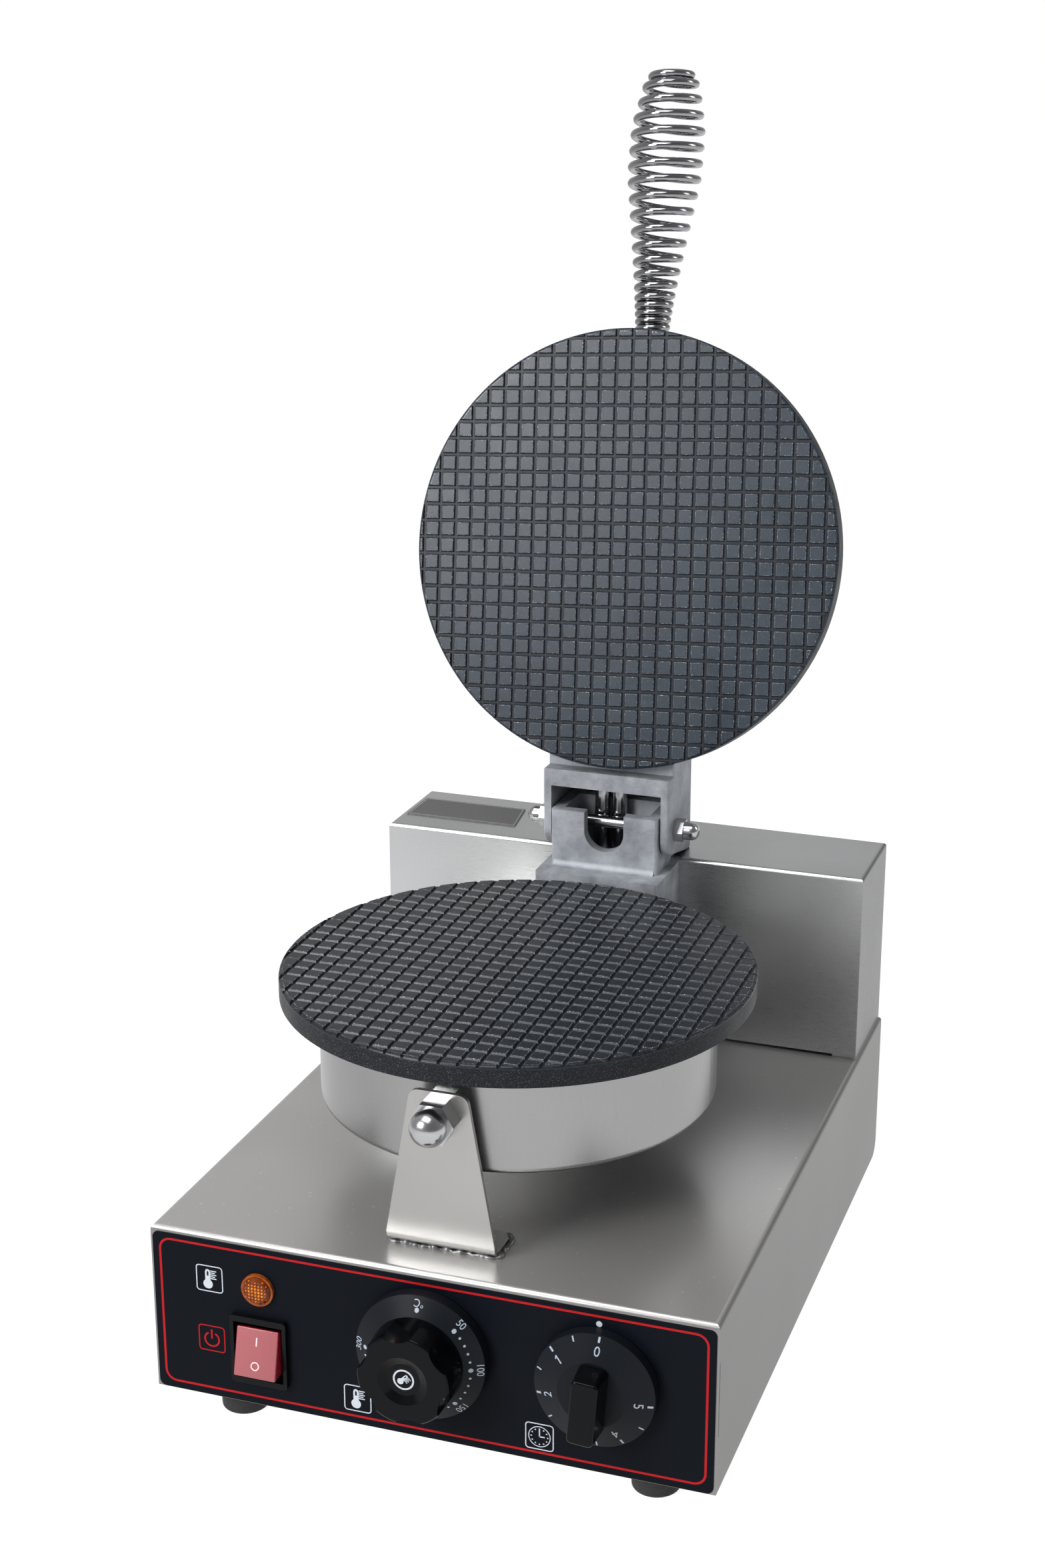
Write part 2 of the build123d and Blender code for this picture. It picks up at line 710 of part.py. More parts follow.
with BuildPart() as bracket_inner_nut_piece:
    with BuildSketch(Plane.XZ.offset(-pan_front_y - sheet - pan_sag)):
        with Locations((0, bolt_z)):
            RegularPolygon(bracket_nut_flats / 2, 6, major_radius=False)
            Circle(bracket_bolt_radius, mode=Mode.SUBTRACT)
    extrude(amount=-bracket_inner_nut)

with BuildPart() as bracket_spacer_nut:
    with BuildSketch(Plane.XZ.offset(-bracket_back)):
        with Locations((0, bolt_z)):
            RegularPolygon(bracket_nut_flats / 2, 6, major_radius=False)
            Circle(bracket_bolt_radius, mode=Mode.SUBTRACT)
    extrude(amount=bracket_back - pan_front_y + seat_gap)

with BuildPart() as bracket_cap_nut:
    with BuildSketch(Plane.XZ.offset(-bracket_front)):
        with Locations((0, bolt_z)):
            Circle(bracket_dome_radius)
    extrude(amount=bracket_cap_height)
    fillet(bracket_cap_nut.edges().sort_by(Axis.Y)[0], bracket_dome_radius - bracket_dome_flat)
    with BuildSketch(Plane.XZ.offset(-bracket_front)):
        with Locations((0, bolt_z)):
            RegularPolygon(bracket_nut_flats / 2, 6, major_radius=False)
    extrude(amount=bracket_cap_hex)
    with BuildSketch(Plane.XZ.offset(-bracket_front)):
        with Locations((0, bolt_z)):
            Circle(bracket_bolt_radius)
    extrude(amount=bracket_stud_reach + 0.5, mode=Mode.SUBTRACT)

# ---- hotplates and pans ------------------------------------------------------------------
# A cooking face is cut by two sets of drafted grooves, so that it stands up in square pads.
groove_count = int(2 * plate_radius / groove_pitch) + 1
groove_reach = groove_pitch * groove_count
groove_section = (
    (-groove_width / 2, 0),
    (-groove_floor / 2, groove_depth),
    (groove_floor / 2, groove_depth),
    (groove_width / 2, 0),
    (groove_floor / 2, -groove_depth),
    (-groove_floor / 2, -groove_depth),
)


def grooves(face, turn, shift_x, shift_y):
    """Two crossed planes that look along the two sets of grooves on a cooking face."""
    frame = spun(face, turn)
    along_y = Plane(origin=frame.from_local_coords((shift_x, 0, 0)), x_dir=frame.x_dir, z_dir=frame.y_dir)
    along_x = Plane(origin=frame.from_local_coords((0, shift_y, 0)), x_dir=frame.y_dir, z_dir=frame.x_dir)
    return along_y, along_x


with BuildPart() as lower_plate:
    with BuildSketch(lower_face):
        Circle(plate_radius)
    extrude(amount=plate_thickness)
    fillet(lower_plate.edges().group_by(Axis.Z)[-1], plate_edge_radius)
    with BuildSketch(lower_seat):
        Circle(spigot_radius)
        Circle(spigot_radius - spigot_wall, mode=Mode.SUBTRACT)
    extrude(amount=spigot_depth)
    with BuildSketch(lower_seat):
        Circle(boss_radius)
    extrude(amount=boss_height)
    with BuildSketch(lower_seat.offset(boss_height)):
        Circle(stud_radius)
    extrude(amount=-boss_height, mode=Mode.SUBTRACT)
    for side in grooves(lower_face, lower_grid_turn, lower_grid_x, lower_grid_y):
        with BuildSketch(side):
            with GridLocations(groove_pitch, 0, groove_count, 1):
                Polygon(*groove_section)
        extrude(amount=groove_reach, both=True, mode=Mode.SUBTRACT)

with BuildPart() as upper_plate:
    with BuildSketch(upper_face):
        Circle(plate_radius)
    extrude(amount=plate_thickness)
    fillet(upper_plate.edges().group_by(lid_up)[0], plate_edge_radius)
    with BuildSketch(upper_seat):
        Circle(spigot_radius)
        Circle(spigot_radius - spigot_wall, mode=Mode.SUBTRACT)
    extrude(amount=spigot_depth)
    with BuildSketch(upper_seat):
        Circle(boss_radius)
    extrude(amount=boss_height)
    with BuildSketch(upper_seat.offset(boss_height)):
        Circle(stud_radius)
    extrude(amount=-boss_height, mode=Mode.SUBTRACT)
    for side in grooves(upper_face, upper_grid_turn, upper_grid_x, upper_grid_y):
        with BuildSketch(side):
            with GridLocations(groove_pitch, 0, groove_count, 1):
                Polygon(*groove_section)
        extrude(amount=groove_reach, both=True, mode=Mode.SUBTRACT)

with BuildPart() as lower_pan:
    with BuildSketch(lower_seat):
        Circle(pan_radius)
    extrude(amount=lower_pan_depth)
    fillet(lower_pan.edges().group_by(Axis.Z)[0], pan_floor_radius)
    offset(amount=-sheet, openings=lower_pan.faces().sort_by(Axis.Z)[-1])
    with BuildSketch(lower_seat):
        Circle(stud_radius + hole_gap)
    extrude(amount=lower_pan_depth, mode=Mode.SUBTRACT)
    with BuildSketch(Plane.XZ.offset(-plate_y)):
        with Locations((0, bolt_z)):
            Circle(bracket_bolt_radius + hole_gap)
    extrude(amount=pan_radius, mode=Mode.SUBTRACT)
    with BuildSketch(Plane.XZ.offset(-plate_y)):
        with Locations((0, lower_lead_z)):
            with GridLocations(lower_lead_pitch, 0, 2, 1):
                Circle(lead_radius + slide_gap)
    extrude(amount=-pan_radius, mode=Mode.SUBTRACT)

handle_top = stacked(lid, lid_centre - pan_radius, handle_height - pin_above_face, lid.z_dir)
droop = radians(handle_droop)
handle_dir = lid.y_dir * -cos(droop) - lid.z_dir * sin(droop)
handle = Plane(origin=handle_top.origin, x_dir=(1, 0, 0), z_dir=handle_dir)
lid_lead = stacked(lid, lid_centre, lead_height - pin_above_face, lid.y_dir)

with BuildPart() as upper_pan:
    with BuildSketch(upper_seat):
        Circle(pan_radius)
    extrude(amount=upper_pan_depth)
    fillet(upper_pan.edges().group_by(lid_up)[-1], pan_floor_radius)
    offset(amount=-sheet, openings=upper_pan.faces().sort_by(lid_up)[0])
    with BuildSketch(upper_seat):
        Circle(stud_radius + hole_gap)
    extrude(amount=upper_pan_depth, mode=Mode.SUBTRACT)
    with BuildSketch(handle.offset(-pan_radius / 2)):
        Circle(rod_radius + hole_gap)
    extrude(amount=pan_radius, mode=Mode.SUBTRACT)
    with BuildSketch(lid_lead):
        with Locations((lead_offset, 0)):
            with GridLocations(lead_pitch, 0, 2, 1):
                Circle(lead_radius + slide_gap)
    extrude(amount=pan_radius, mode=Mode.SUBTRACT)
    for turn in (-arm_screw_turn, arm_screw_turn):
        with BuildSketch(stacked(lid, lid_centre, arm_screw_height - pin_above_face, turned(turn))):
            Circle(screw_radius + hole_gap)
        extrude(amount=pan_radius, mode=Mode.SUBTRACT)

element_z = element_tube + wool_clearance / 2
reflector_z = element_z + element_tube + wool_clearance / 2
wool_z = reflector_z + reflector_thickness + wool_clearance / 2


# Each stack is drawn outwards from the back of its plate: element, reflector, wool, pan.
lower_ring = spun(lower_seat, element_gap / 2 - 90)
upper_ring = spun(upper_seat, element_gap / 2 + 90)

with BuildPart() as lower_element:
    with BuildSketch(Plane(origin=lower_ring.origin, x_dir=lower_ring.x_dir, z_dir=lower_ring.y_dir)):
        with Locations((element_radius, -element_z)):
            Circle(element_tube)
    revolve(axis=Axis(lower_ring.origin, lower_ring.z_dir), revolution_arc=360 - element_gap)
    with BuildSketch(lower_ring.offset(element_z)):
        with PolarLocations(element_radius, 2, angular_range=360 - element_gap, endpoint=True):
            Circle(element_pin)
    extrude(amount=element_tail)

with BuildPart() as upper_element:
    with BuildSketch(Plane(origin=upper_ring.origin, x_dir=upper_ring.x_dir, z_dir=upper_ring.y_dir)):
        with Locations((element_radius, -element_z)):
            Circle(element_tube)
    revolve(axis=Axis(upper_ring.origin, upper_ring.z_dir), revolution_arc=360 - element_gap)
    with BuildSketch(upper_ring.offset(element_z)):
        with PolarLocations(element_radius, 2, angular_range=360 - element_gap, endpoint=True):
            Circle(element_pin)
    extrude(amount=element_tail)

with BuildPart() as lower_reflector:
    with BuildSketch(lower_ring.offset(reflector_z)):
        Circle(reflector_radius)
        Circle(boss_radius + hole_gap, mode=Mode.SUBTRACT)
        with PolarLocations(element_radius, 2, angular_range=360 - element_gap, endpoint=True):
            Circle(element_pin + slide_gap, mode=Mode.SUBTRACT)
    extrude(amount=reflector_thickness)

with BuildPart() as upper_reflector:
    with BuildSketch(upper_ring.offset(reflector_z)):
        Circle(reflector_radius)
        Circle(boss_radius + hole_gap, mode=Mode.SUBTRACT)
        with PolarLocations(element_radius, 2, angular_range=360 - element_gap, endpoint=True):
            Circle(element_pin + slide_gap, mode=Mode.SUBTRACT)
    extrude(amount=reflector_thickness)

wool_radius = pan_radius - sheet - wool_clearance
lower_wool = lower_pan_depth - sheet - wool_clearance - wool_z
upper_wool = upper_pan_depth - sheet - wool_clearance - wool_z

with BuildPart() as lower_insulation:
    with BuildSketch(lower_ring.offset(wool_z)):
        Circle(wool_radius)
        Circle(boss_radius + slide_gap, mode=Mode.SUBTRACT)
        with PolarLocations(element_radius, 2, angular_range=360 - element_gap, endpoint=True):
            Circle(element_pin + slide_gap, mode=Mode.SUBTRACT)
    extrude(amount=lower_wool)
    with BuildSketch(lower_seat.offset(wool_z)):
        with Locations((0, -wool_radius), (0, wool_radius)):
            Rectangle(window_width, 2 * wool_pocket)
    extrude(amount=lower_wool, mode=Mode.SUBTRACT)
    lower_rims = lower_insulation.edges().filter_by(GeomType.CIRCLE).group_by(Axis.Z)[0]
    fillet(lower_rims.group_by(SortBy.RADIUS)[-1], wool_edge)

with BuildPart() as upper_insulation:
    with BuildSketch(upper_ring.offset(wool_z)):
        Circle(wool_radius)
        Circle(boss_radius + slide_gap, mode=Mode.SUBTRACT)
        with PolarLocations(element_radius, 2, angular_range=360 - element_gap, endpoint=True):
            Circle(element_pin + slide_gap, mode=Mode.SUBTRACT)
    extrude(amount=upper_wool)
    with BuildSketch(upper_seat.offset(wool_z)):
        with Locations((0, -wool_radius)):
            Rectangle(window_width, 2 * wool_pocket)
        with Locations((0, wool_radius)):
            Rectangle(2 * window_width, 2 * wool_pocket)
    extrude(amount=upper_wool, mode=Mode.SUBTRACT)
    upper_rims = upper_insulation.edges().filter_by(GeomType.CIRCLE).group_by(lid_up)[-1]
    fillet(upper_rims.group_by(SortBy.RADIUS)[-1], wool_edge)

with BuildPart() as lower_plate_stud:
    with BuildSketch(lower_seat):
        Circle(stud_radius)
    extrude(amount=lower_pan_depth + stud_nut + stud_tail)

with BuildPart() as upper_plate_stud:
    with BuildSketch(upper_seat):
        Circle(stud_radius)
    extrude(amount=upper_pan_depth + stud_nut + stud_tail)

with BuildPart() as lower_stud_nut:
    with BuildSketch(lower_seat.offset(lower_pan_depth)):
        RegularPolygon(stud_nut_flats / 2, 6, major_radius=False)
        Circle(stud_radius, mode=Mode.SUBTRACT)
    extrude(amount=stud_nut)

with BuildPart() as upper_stud_nut:
    with BuildSketch(upper_seat.offset(upper_pan_depth)):
        RegularPolygon(stud_nut_flats / 2, 6, major_radius=False)
        Circle(stud_radius, mode=Mode.SUBTRACT)
    extrude(amount=stud_nut)

with BuildPart() as lower_leads:
    with BuildSketch(Plane.XZ.offset(-lower_lead_start)):
        with Locations((0, lower_lead_z)):
            with GridLocations(lower_lead_pitch, 0, 2, 1):
                Circle(lead_radius)
    extrude(amount=lower_lead_start - housing_front - lower_lead_end)

# ---- hinge fork: the casting that carries the lid -----------------------------------------
fork_width = wall_box_width + 2 * cheek_gap + 2 * cheek_thickness
fork_low = housing_top + stop_gap - pin_z

with BuildPart() as hinge_fork:
    with BuildSketch(arm_side):
        with BuildLine():
            Polyline(
                (arm_chin_u, arm_chin_v),
                (arm_rear - arm_rear_wall, fork_low),
                (arm_rear, fork_low),
                (arm_rear, arm_top + pan_radius / 2),
                (arm_step, arm_top + pan_radius / 2),
                (arm_step, arm_top),
                (-arm_front, arm_top),
                (-arm_front, arm_brow),
            )
            ThreePointArc(
                (-arm_front, arm_brow),
                (arm_arc_u, arm_arc_v),
                (arm_chin_u, arm_chin_v),
            )
        make_face()
    extrude(amount=fork_width / 2, both=True)
    fillet(hinge_fork.faces().filter_by(Axis.X).edges(), arm_edge_radius)
    with BuildSketch(upper_seat):
        Circle(plate_radius + slide_gap)
    extrude(amount=-pan_radius, mode=Mode.SUBTRACT)
    with BuildSketch(upper_seat):
        Circle(pan_radius + seat_gap)
    extrude(amount=pan_radius, mode=Mode.SUBTRACT)
    with BuildSketch(arm_side):
        with BuildLine():
            Polyline(
                (-2 * arm_front, fork_low - arm_overcut),
                (arm_rear - arm_rear_wall, fork_low - arm_overcut),
                (arm_rear - arm_rear_wall, arm_window_top),
                (-2 * arm_front, arm_window_top),
                close=True,
            )
        make_face()
    extrude(amount=wall_box_width / 2 + cheek_gap, both=True, mode=Mode.SUBTRACT)
    with BuildSketch(arm_side):
        with BuildLine():
            Polyline(
                (arm_channel_front, arm_window_top),
                (arm_rear - arm_rear_wall, arm_window_top),
                (arm_rear - arm_rear_wall, arm_top + pan_radius / 2),
                (arm_channel_front, arm_top + pan_radius / 2),
                close=True,
            )
        make_face()
    extrude(amount=window_width / 2, both=True, mode=Mode.SUBTRACT)
    with BuildSketch(arm_side):
        Circle(pin_radius)
    extrude(amount=fork_width, both=True, mode=Mode.SUBTRACT)
    for turn in (-arm_screw_turn, arm_screw_turn):
        with BuildSketch(stacked(lid, lid_centre, arm_screw_height - pin_above_face, turned(turn))):
            Circle(screw_radius)
        extrude(amount=pan_radius + screw_depth, mode=Mode.SUBTRACT)

with BuildPart() as fork_screws:
    for turn in (-arm_screw_turn, arm_screw_turn):
        seat = stacked(lid, lid_centre, arm_screw_height - pin_above_face, turned(turn))
        with BuildSketch(seat.offset(pan_radius - sheet - seat_gap)):
            Circle(screw_head_radius)
        extrude(amount=-screw_head)
        with BuildSketch(seat.offset(pan_radius - sheet - seat_gap)):
            Circle(screw_radius)
        extrude(amount=sheet + screw_depth - 1)

with BuildPart() as hinge_pin:
    with BuildSketch(arm_side):
        Circle(pin_radius)
    extrude(amount=fork_width / 2 + hinge_nut + hinge_cap - pin_short, both=True)

with BuildPart() as hinge_nuts:
    for reach in (fork_width / 2, -fork_width / 2 - hinge_nut):
        with BuildSketch(arm_side.offset(reach)):
            RegularPolygon(hinge_nut_flats / 2, 6, major_radius=False)
            Circle(pin_radius, mode=Mode.SUBTRACT)
        extrude(amount=hinge_nut)

with BuildPart() as hinge_cap_nuts:
    with BuildSketch(arm_side.offset(fork_width / 2 + hinge_nut)):
        Circle(hinge_cap_radius)
    extrude(amount=hinge_cap)
    fillet(hinge_cap_nuts.edges().sort_by(Axis.X)[-1], hinge_cap_radius - hinge_cap_flat)
    with BuildSketch(arm_side.offset(fork_width / 2 + hinge_nut)):
        Circle(pin_radius)
    extrude(amount=hinge_cap - hinge_cap_wall, mode=Mode.SUBTRACT)
    mirror(about=Plane.YZ)

# ---- leads from the housing up into the lid -------------------------------------------------
lid_entry = stacked(lid, lid_centre + pan_radius, lead_height - pin_above_face, lid.y_dir).origin
lead_top = lid_entry - lid.y_dir * lead_inside
lead_route = [
    (lead_top.Y, lead_top.Z),
    (pin_y + lead_high_y, lid_entry.Z - lead_high_drop),
    (pin_y + lead_behind_pin, pin_z + lead_straight_margin),
    (pin_y + lead_behind_pin, housing_top - lead_straight_margin),
    (pin_y + lead_low_y, housing_top - lead_low_drop),
    (pin_y + lead_end_y, housing_top - lead_end_drop),
]


def rounded_route(points):
    """Straight runs joined by arcs that are as large as the runs beside them allow."""
    pieces = []
    here = Vector(points[0])
    for before, corner, after in zip(points, points[1:], points[2:]):
        before, corner, after = Vector(before), Vector(corner), Vector(after)
        into = (corner - before).normalized()
        out = (after - corner).normalized()
        turn = radians(into.get_angle(out))
        if turn < 1e-4:
            continue
        reach = lead_bend_share * min((corner - before).length, (after - corner).length)
        start = corner - into * reach
        end = corner + out * reach
        radius = reach / tan(turn / 2)
        middle = corner + (out - into).normalized() * (radius / cos(turn / 2) - radius)
        pieces.append((here, start, middle, end))
        here = end
    return pieces, here, Vector(points[-1])


lead_bends, lead_last, lead_end = rounded_route(lead_route)
lead_start_dir = (0, lead_route[1][0] - lead_route[0][0], lead_route[1][1] - lead_route[0][1])

with BuildPart() as heater_leads:
    for lead_x in (lead_offset - lead_pitch / 2, lead_offset + lead_pitch / 2):
        with BuildLine():
            for start, bend_start, bend_middle, bend_end in lead_bends:
                Line((lead_x, start.X, start.Y), (lead_x, bend_start.X, bend_start.Y))
                ThreePointArc(
                    (lead_x, bend_start.X, bend_start.Y),
                    (lead_x, bend_middle.X, bend_middle.Y),
                    (lead_x, bend_end.X, bend_end.Y),
                )
            Line((lead_x, lead_last.X, lead_last.Y), (lead_x, lead_end.X, lead_end.Y))
        with BuildSketch(Plane(origin=(lead_x, lead_top.Y, lead_top.Z), z_dir=lead_start_dir)):
            Circle(lead_radius)
        sweep()

# ---- handle --------------------------------------------------------------------------------
with BuildPart() as handle_rod:
    with BuildSketch(handle.offset(-rod_inside)):
        Circle(rod_radius)
    extrude(amount=rod_inside + rod_length)
    chamfer(handle_rod.edges().group_by(Axis(handle.origin, handle.z_dir))[-1], 1.0)

with BuildPart() as handle_nut:
    with BuildSketch(handle.offset(-sheet - pan_sag)):
        RegularPolygon(rod_nut_flats / 2, 6, major_radius=False)
        Circle(rod_radius, mode=Mode.SUBTRACT)
    extrude(amount=-rod_nut)

# The grip is a beehive coil: its first turns hold the rod and the rest stands free of it.
# Each step of the wire is a short four-sided length.


def coil_reach(turns):
    """Distance along the handle that the wire has climbed after some turns."""
    reach = spring_start
    for (low, low_pitch), (high, high_pitch) in zip(coil_pitches, coil_pitches[1:]):
        part = min(turns, high) - low
        if part <= 0:
            break
        reach += part * (low_pitch + (high_pitch - low_pitch) * part / (high - low) / 2)
    return reach


def coil_radius(reach):
    """Outer radius of the grip at a distance along the handle."""
    for (low, low_r), (high, high_r) in zip(grip_profile, grip_profile[1:]):
        if reach <= high:
            return low_r + (high_r - low_r) * (reach - low) / (high - low)
    return grip_profile[-1][1]


coil_steps = round(coil_pitches[-1][0] * spring_points_per_turn)
coil_sections = []
for step in range(coil_steps + 1):
    turns = step / spring_points_per_turn
    reach = coil_reach(turns)
    middle = coil_radius(reach) - wire_radius
    corners = []
    for out, along in ((wire_radius, 0), (0, wire_radius), (-wire_radius, 0), (0, -wire_radius)):
        x = (middle + out) * cos(2 * pi * turns)
        y = (middle + out) * sin(2 * pi * turns)
        corners.append(handle.from_local_coords(Vector(x, y, reach + along)))
    coil_sections.append(corners)

coil_faces = [Face(Wire.make_polygon(coil_sections[0])), Face(Wire.make_polygon(coil_sections[-1]))]
for near, far in zip(coil_sections, coil_sections[1:]):
    for corner in range(4):
        after = (corner + 1) % 4
        coil_faces.append(Face(Wire.make_polygon([near[corner], near[after], far[after]])))
        coil_faces.append(Face(Wire.make_polygon([near[corner], far[after], far[corner]])))

with BuildPart() as handle_spring:
    add(Solid(Shell(coil_faces)))

# ---- controls ------------------------------------------------------------------------------
panel_face = Plane.XZ.offset(film_thickness)
knob_back = film_thickness + knob_gap

with BuildPart() as thermostat_body:
    with BuildSketch(Plane.XZ.offset(-sheet)):
        with Locations((0, control_z)):
            RectangleRounded(thermostat_width, thermostat_width, 3)
    extrude(amount=-thermostat_depth)
    with BuildSketch(Plane.XZ.offset(-sheet)):
        with Locations((0, control_z)):
            Circle(bush_radius)
    extrude(amount=sheet + film_thickness)
    with BuildSketch(panel_face):
        with Locations((0, control_z)):
            Circle(spindle_radius + pin_clearance)
    extrude(amount=-film_thickness - sheet - spindle_depth, mode=Mode.SUBTRACT)

with BuildPart() as timer_body:
    with BuildSketch(Plane.XZ.offset(-sheet)):
        with Locations((timer_x, control_z)):
            RectangleRounded(timer_width, timer_width, 3)
    extrude(amount=-timer_depth)
    with BuildSketch(Plane.XZ.offset(-sheet)):
        with Locations((timer_x, control_z)):
            Circle(bush_radius)
    extrude(amount=sheet + film_thickness)
    with BuildSketch(panel_face):
        with Locations((timer_x, control_z)):
            Circle(spindle_radius + pin_clearance)
    extrude(amount=-film_thickness - sheet - spindle_depth, mode=Mode.SUBTRACT)

with BuildPart() as thermostat_spindle:
    with BuildSketch(Plane.XZ.offset(-sheet - spindle_depth + 0.5)):
        with Locations((0, control_z)):
            Circle(spindle_radius)
    extrude(amount=sheet + spindle_depth - 0.5 + thermostat_front - spindle_cover)

with BuildPart() as timer_spindle:
    with BuildSketch(Plane.XZ.offset(-sheet - spindle_depth + 0.5)):
        with Locations((timer_x, control_z)):
            Circle(spindle_radius)
    extrude(amount=sheet + spindle_depth - 0.5 + timer_front - spindle_cover)

with BuildPart() as thermostat_knob:
    with BuildSketch(Plane.XY.offset(control_z)):
        with BuildLine():
            Polyline(
                (0, -knob_back),
                (thermostat_skirt_radius, -knob_back),
                (thermostat_skirt_radius, -skirt_edge),
                (thermostat_grip_radius + 0.5, -skirt_front),
                (thermostat_grip_radius, -thermostat_front),
                (0, -thermostat_front),
                close=True,
            )
        make_face()
    revolve(axis=Axis((0, 0, control_z), (0, 1, 0)))
    fillet(thermostat_knob.faces().sort_by(Axis.Y)[0].edges(), knob_edge_radius)
    with BuildSketch(Plane.XZ.offset(thermostat_front)):
        with Locations((0, control_z)):
            scallop_reach = thermostat_grip_radius - scallop_depth + scallop_radius
            with PolarLocations(scallop_reach, scallop_count, start_angle=scallop_turn):
                Circle(scallop_radius)
    extrude(amount=skirt_front + scallop_stop - thermostat_front, mode=Mode.SUBTRACT)
    with BuildSketch(Plane.XY.offset(control_z)):
        with BuildLine():
            Polyline(
                (0, -thermostat_front),
                (dish_radius, -thermostat_front),
                (dish_floor, dish_depth - thermostat_front),
                (0, dish_depth - thermostat_front),
                close=True,
            )
        make_face()
    revolve(axis=Axis((0, 0, control_z), (0, 1, 0)), mode=Mode.SUBTRACT)
    with BuildSketch(Plane.XZ.offset(knob_back)):
        with Locations((0, control_z)):
            Circle(spindle_radius + pin_clearance)
    extrude(amount=thermostat_front - spindle_cover - knob_back, mode=Mode.SUBTRACT)

with BuildPart() as timer_knob:
    with BuildSketch(Plane.XY.offset(control_z)):
        with BuildLine():
            Polyline(
                (timer_x, -knob_back),
                (timer_x + timer_skirt_radius, -knob_back),
                (timer_x + timer_skirt_radius, -skirt_edge),
                (timer_x + timer_hub_radius, -skirt_front),
                (timer_x, -skirt_front),
                close=True,
            )
        make_face()
    revolve(axis=Axis((timer_x, 0, control_z), (0, 1, 0)))
    with BuildSketch(Plane.XZ.offset(skirt_front - 0.5)):
        with Locations(Location((timer_x, control_z, 0), (0, 0, timer_bar_turn))):
            with Locations((timer_bar_shift, 0)):
                RectangleRounded(timer_bar_length, timer_bar_width, timer_bar_corner)
    extrude(amount=timer_front - skirt_front + 0.5, taper=timer_bar_taper)
    fillet(timer_knob.faces().sort_by(Axis.Y)[0].edges(), knob_edge_radius)
    with BuildSketch(Plane.XZ.offset(knob_back)):
        with Locations((timer_x, control_z)):
            Circle(spindle_radius + pin_clearance)
    extrude(amount=timer_front - spindle_cover - knob_back, mode=Mode.SUBTRACT)

with BuildPart() as switch_body:
    with BuildSketch(panel_face):
        with Locations((switch_x, switch_z)):
            RectangleRounded(bezel_width, bezel_height, bezel_corner)
    extrude(amount=bezel_thickness)
    with BuildSketch(panel_face):
        with Locations((switch_x, switch_z)):
            Rectangle(switch_width, switch_body_height)
    extrude(amount=-switch_depth)
    with BuildSketch(panel_face.offset(bezel_thickness)):
        with Locations((switch_x, switch_z)):
            Rectangle(rocker_width + 2 * slide_gap, rocker_well_height)
    extrude(amount=-bezel_thickness - rocker_well_depth, mode=Mode.SUBTRACT)
    with BuildSketch(Plane.YZ.offset(switch_x)):
        with Locations((rocker_pivot_y, switch_z)):
            Circle(rocker_pin_radius + pin_clearance)
    extrude(amount=rocker_width / 2 + rocker_pin_reach + rocker_pin_play, both=True, mode=Mode.SUBTRACT)

rocker_tilt = radians(rocker_throw / 2)
rocker_side = Plane(
    origin=(switch_x, rocker_pivot_y, switch_z),
    x_dir=(0, cos(rocker_tilt), -sin(rocker_tilt)),
    z_dir=(1, 0, 0),
)
with BuildPart() as switch_rocker:
    with BuildSketch(rocker_side):
        with BuildLine():
            Polyline(
                (-rocker_proud, -rocker_height / 2),
                (-rocker_proud, rocker_height / 2),
                (rocker_heel, rocker_height / 2 - 3),
                (rocker_heel, 3 - rocker_height / 2),
                close=True,
            )
        make_face()
    extrude(amount=rocker_width / 2, both=True)
    fillet(switch_rocker.faces().sort_by(Axis.Y)[0].edges(), rocker_edge_radius)
    with BuildSketch(rocker_side):
        Circle(rocker_pin_radius)
    extrude(amount=rocker_width / 2 + rocker_pin_reach, both=True)

with BuildPart() as indicator_body:
    with BuildSketch(panel_face):
        with Locations((switch_x, lamp_z)):
            Circle(lamp_rim_radius)
    extrude(amount=lamp_rim)
    with BuildSketch(panel_face):
        with Locations((switch_x, lamp_z)):
            Circle(lamp_barrel_radius)
    extrude(amount=-lamp_depth)
    with BuildSketch(panel_face.offset(lamp_rim)):
        with Locations((switch_x, lamp_z)):
            Circle(lamp_lens_radius + seat_gap)
    extrude(amount=-lamp_recess, mode=Mode.SUBTRACT)

with BuildPart() as indicator_lens:
    with BuildSketch(panel_face.offset(lamp_rim - lamp_recess)):
        with Locations((switch_x, lamp_z)):
            Circle(lamp_lens_radius)
    extrude(amount=lamp_lens)
    chamfer(indicator_lens.edges().group_by(Axis.Y)[0], 1.0)

# ---- wiring parts ----------------------------------------------------------------------------
with BuildPart() as terminal_block:
    with BuildSketch(Plane.XY.offset(under_z)):
        with Locations((terminal_x, terminal_y)):
            Rectangle(terminal_length, terminal_width)
    extrude(amount=terminal_height)
    with BuildSketch(Plane.XY.offset(under_z + terminal_height)):
        with Locations((terminal_x, terminal_y)):
            with GridLocations(terminal_length / terminal_ways, 0, terminal_ways, 1):
                Rectangle(terminal_length / terminal_ways - terminal_wall, terminal_width - terminal_border)
    extrude(amount=-terminal_height / 3, mode=Mode.SUBTRACT)

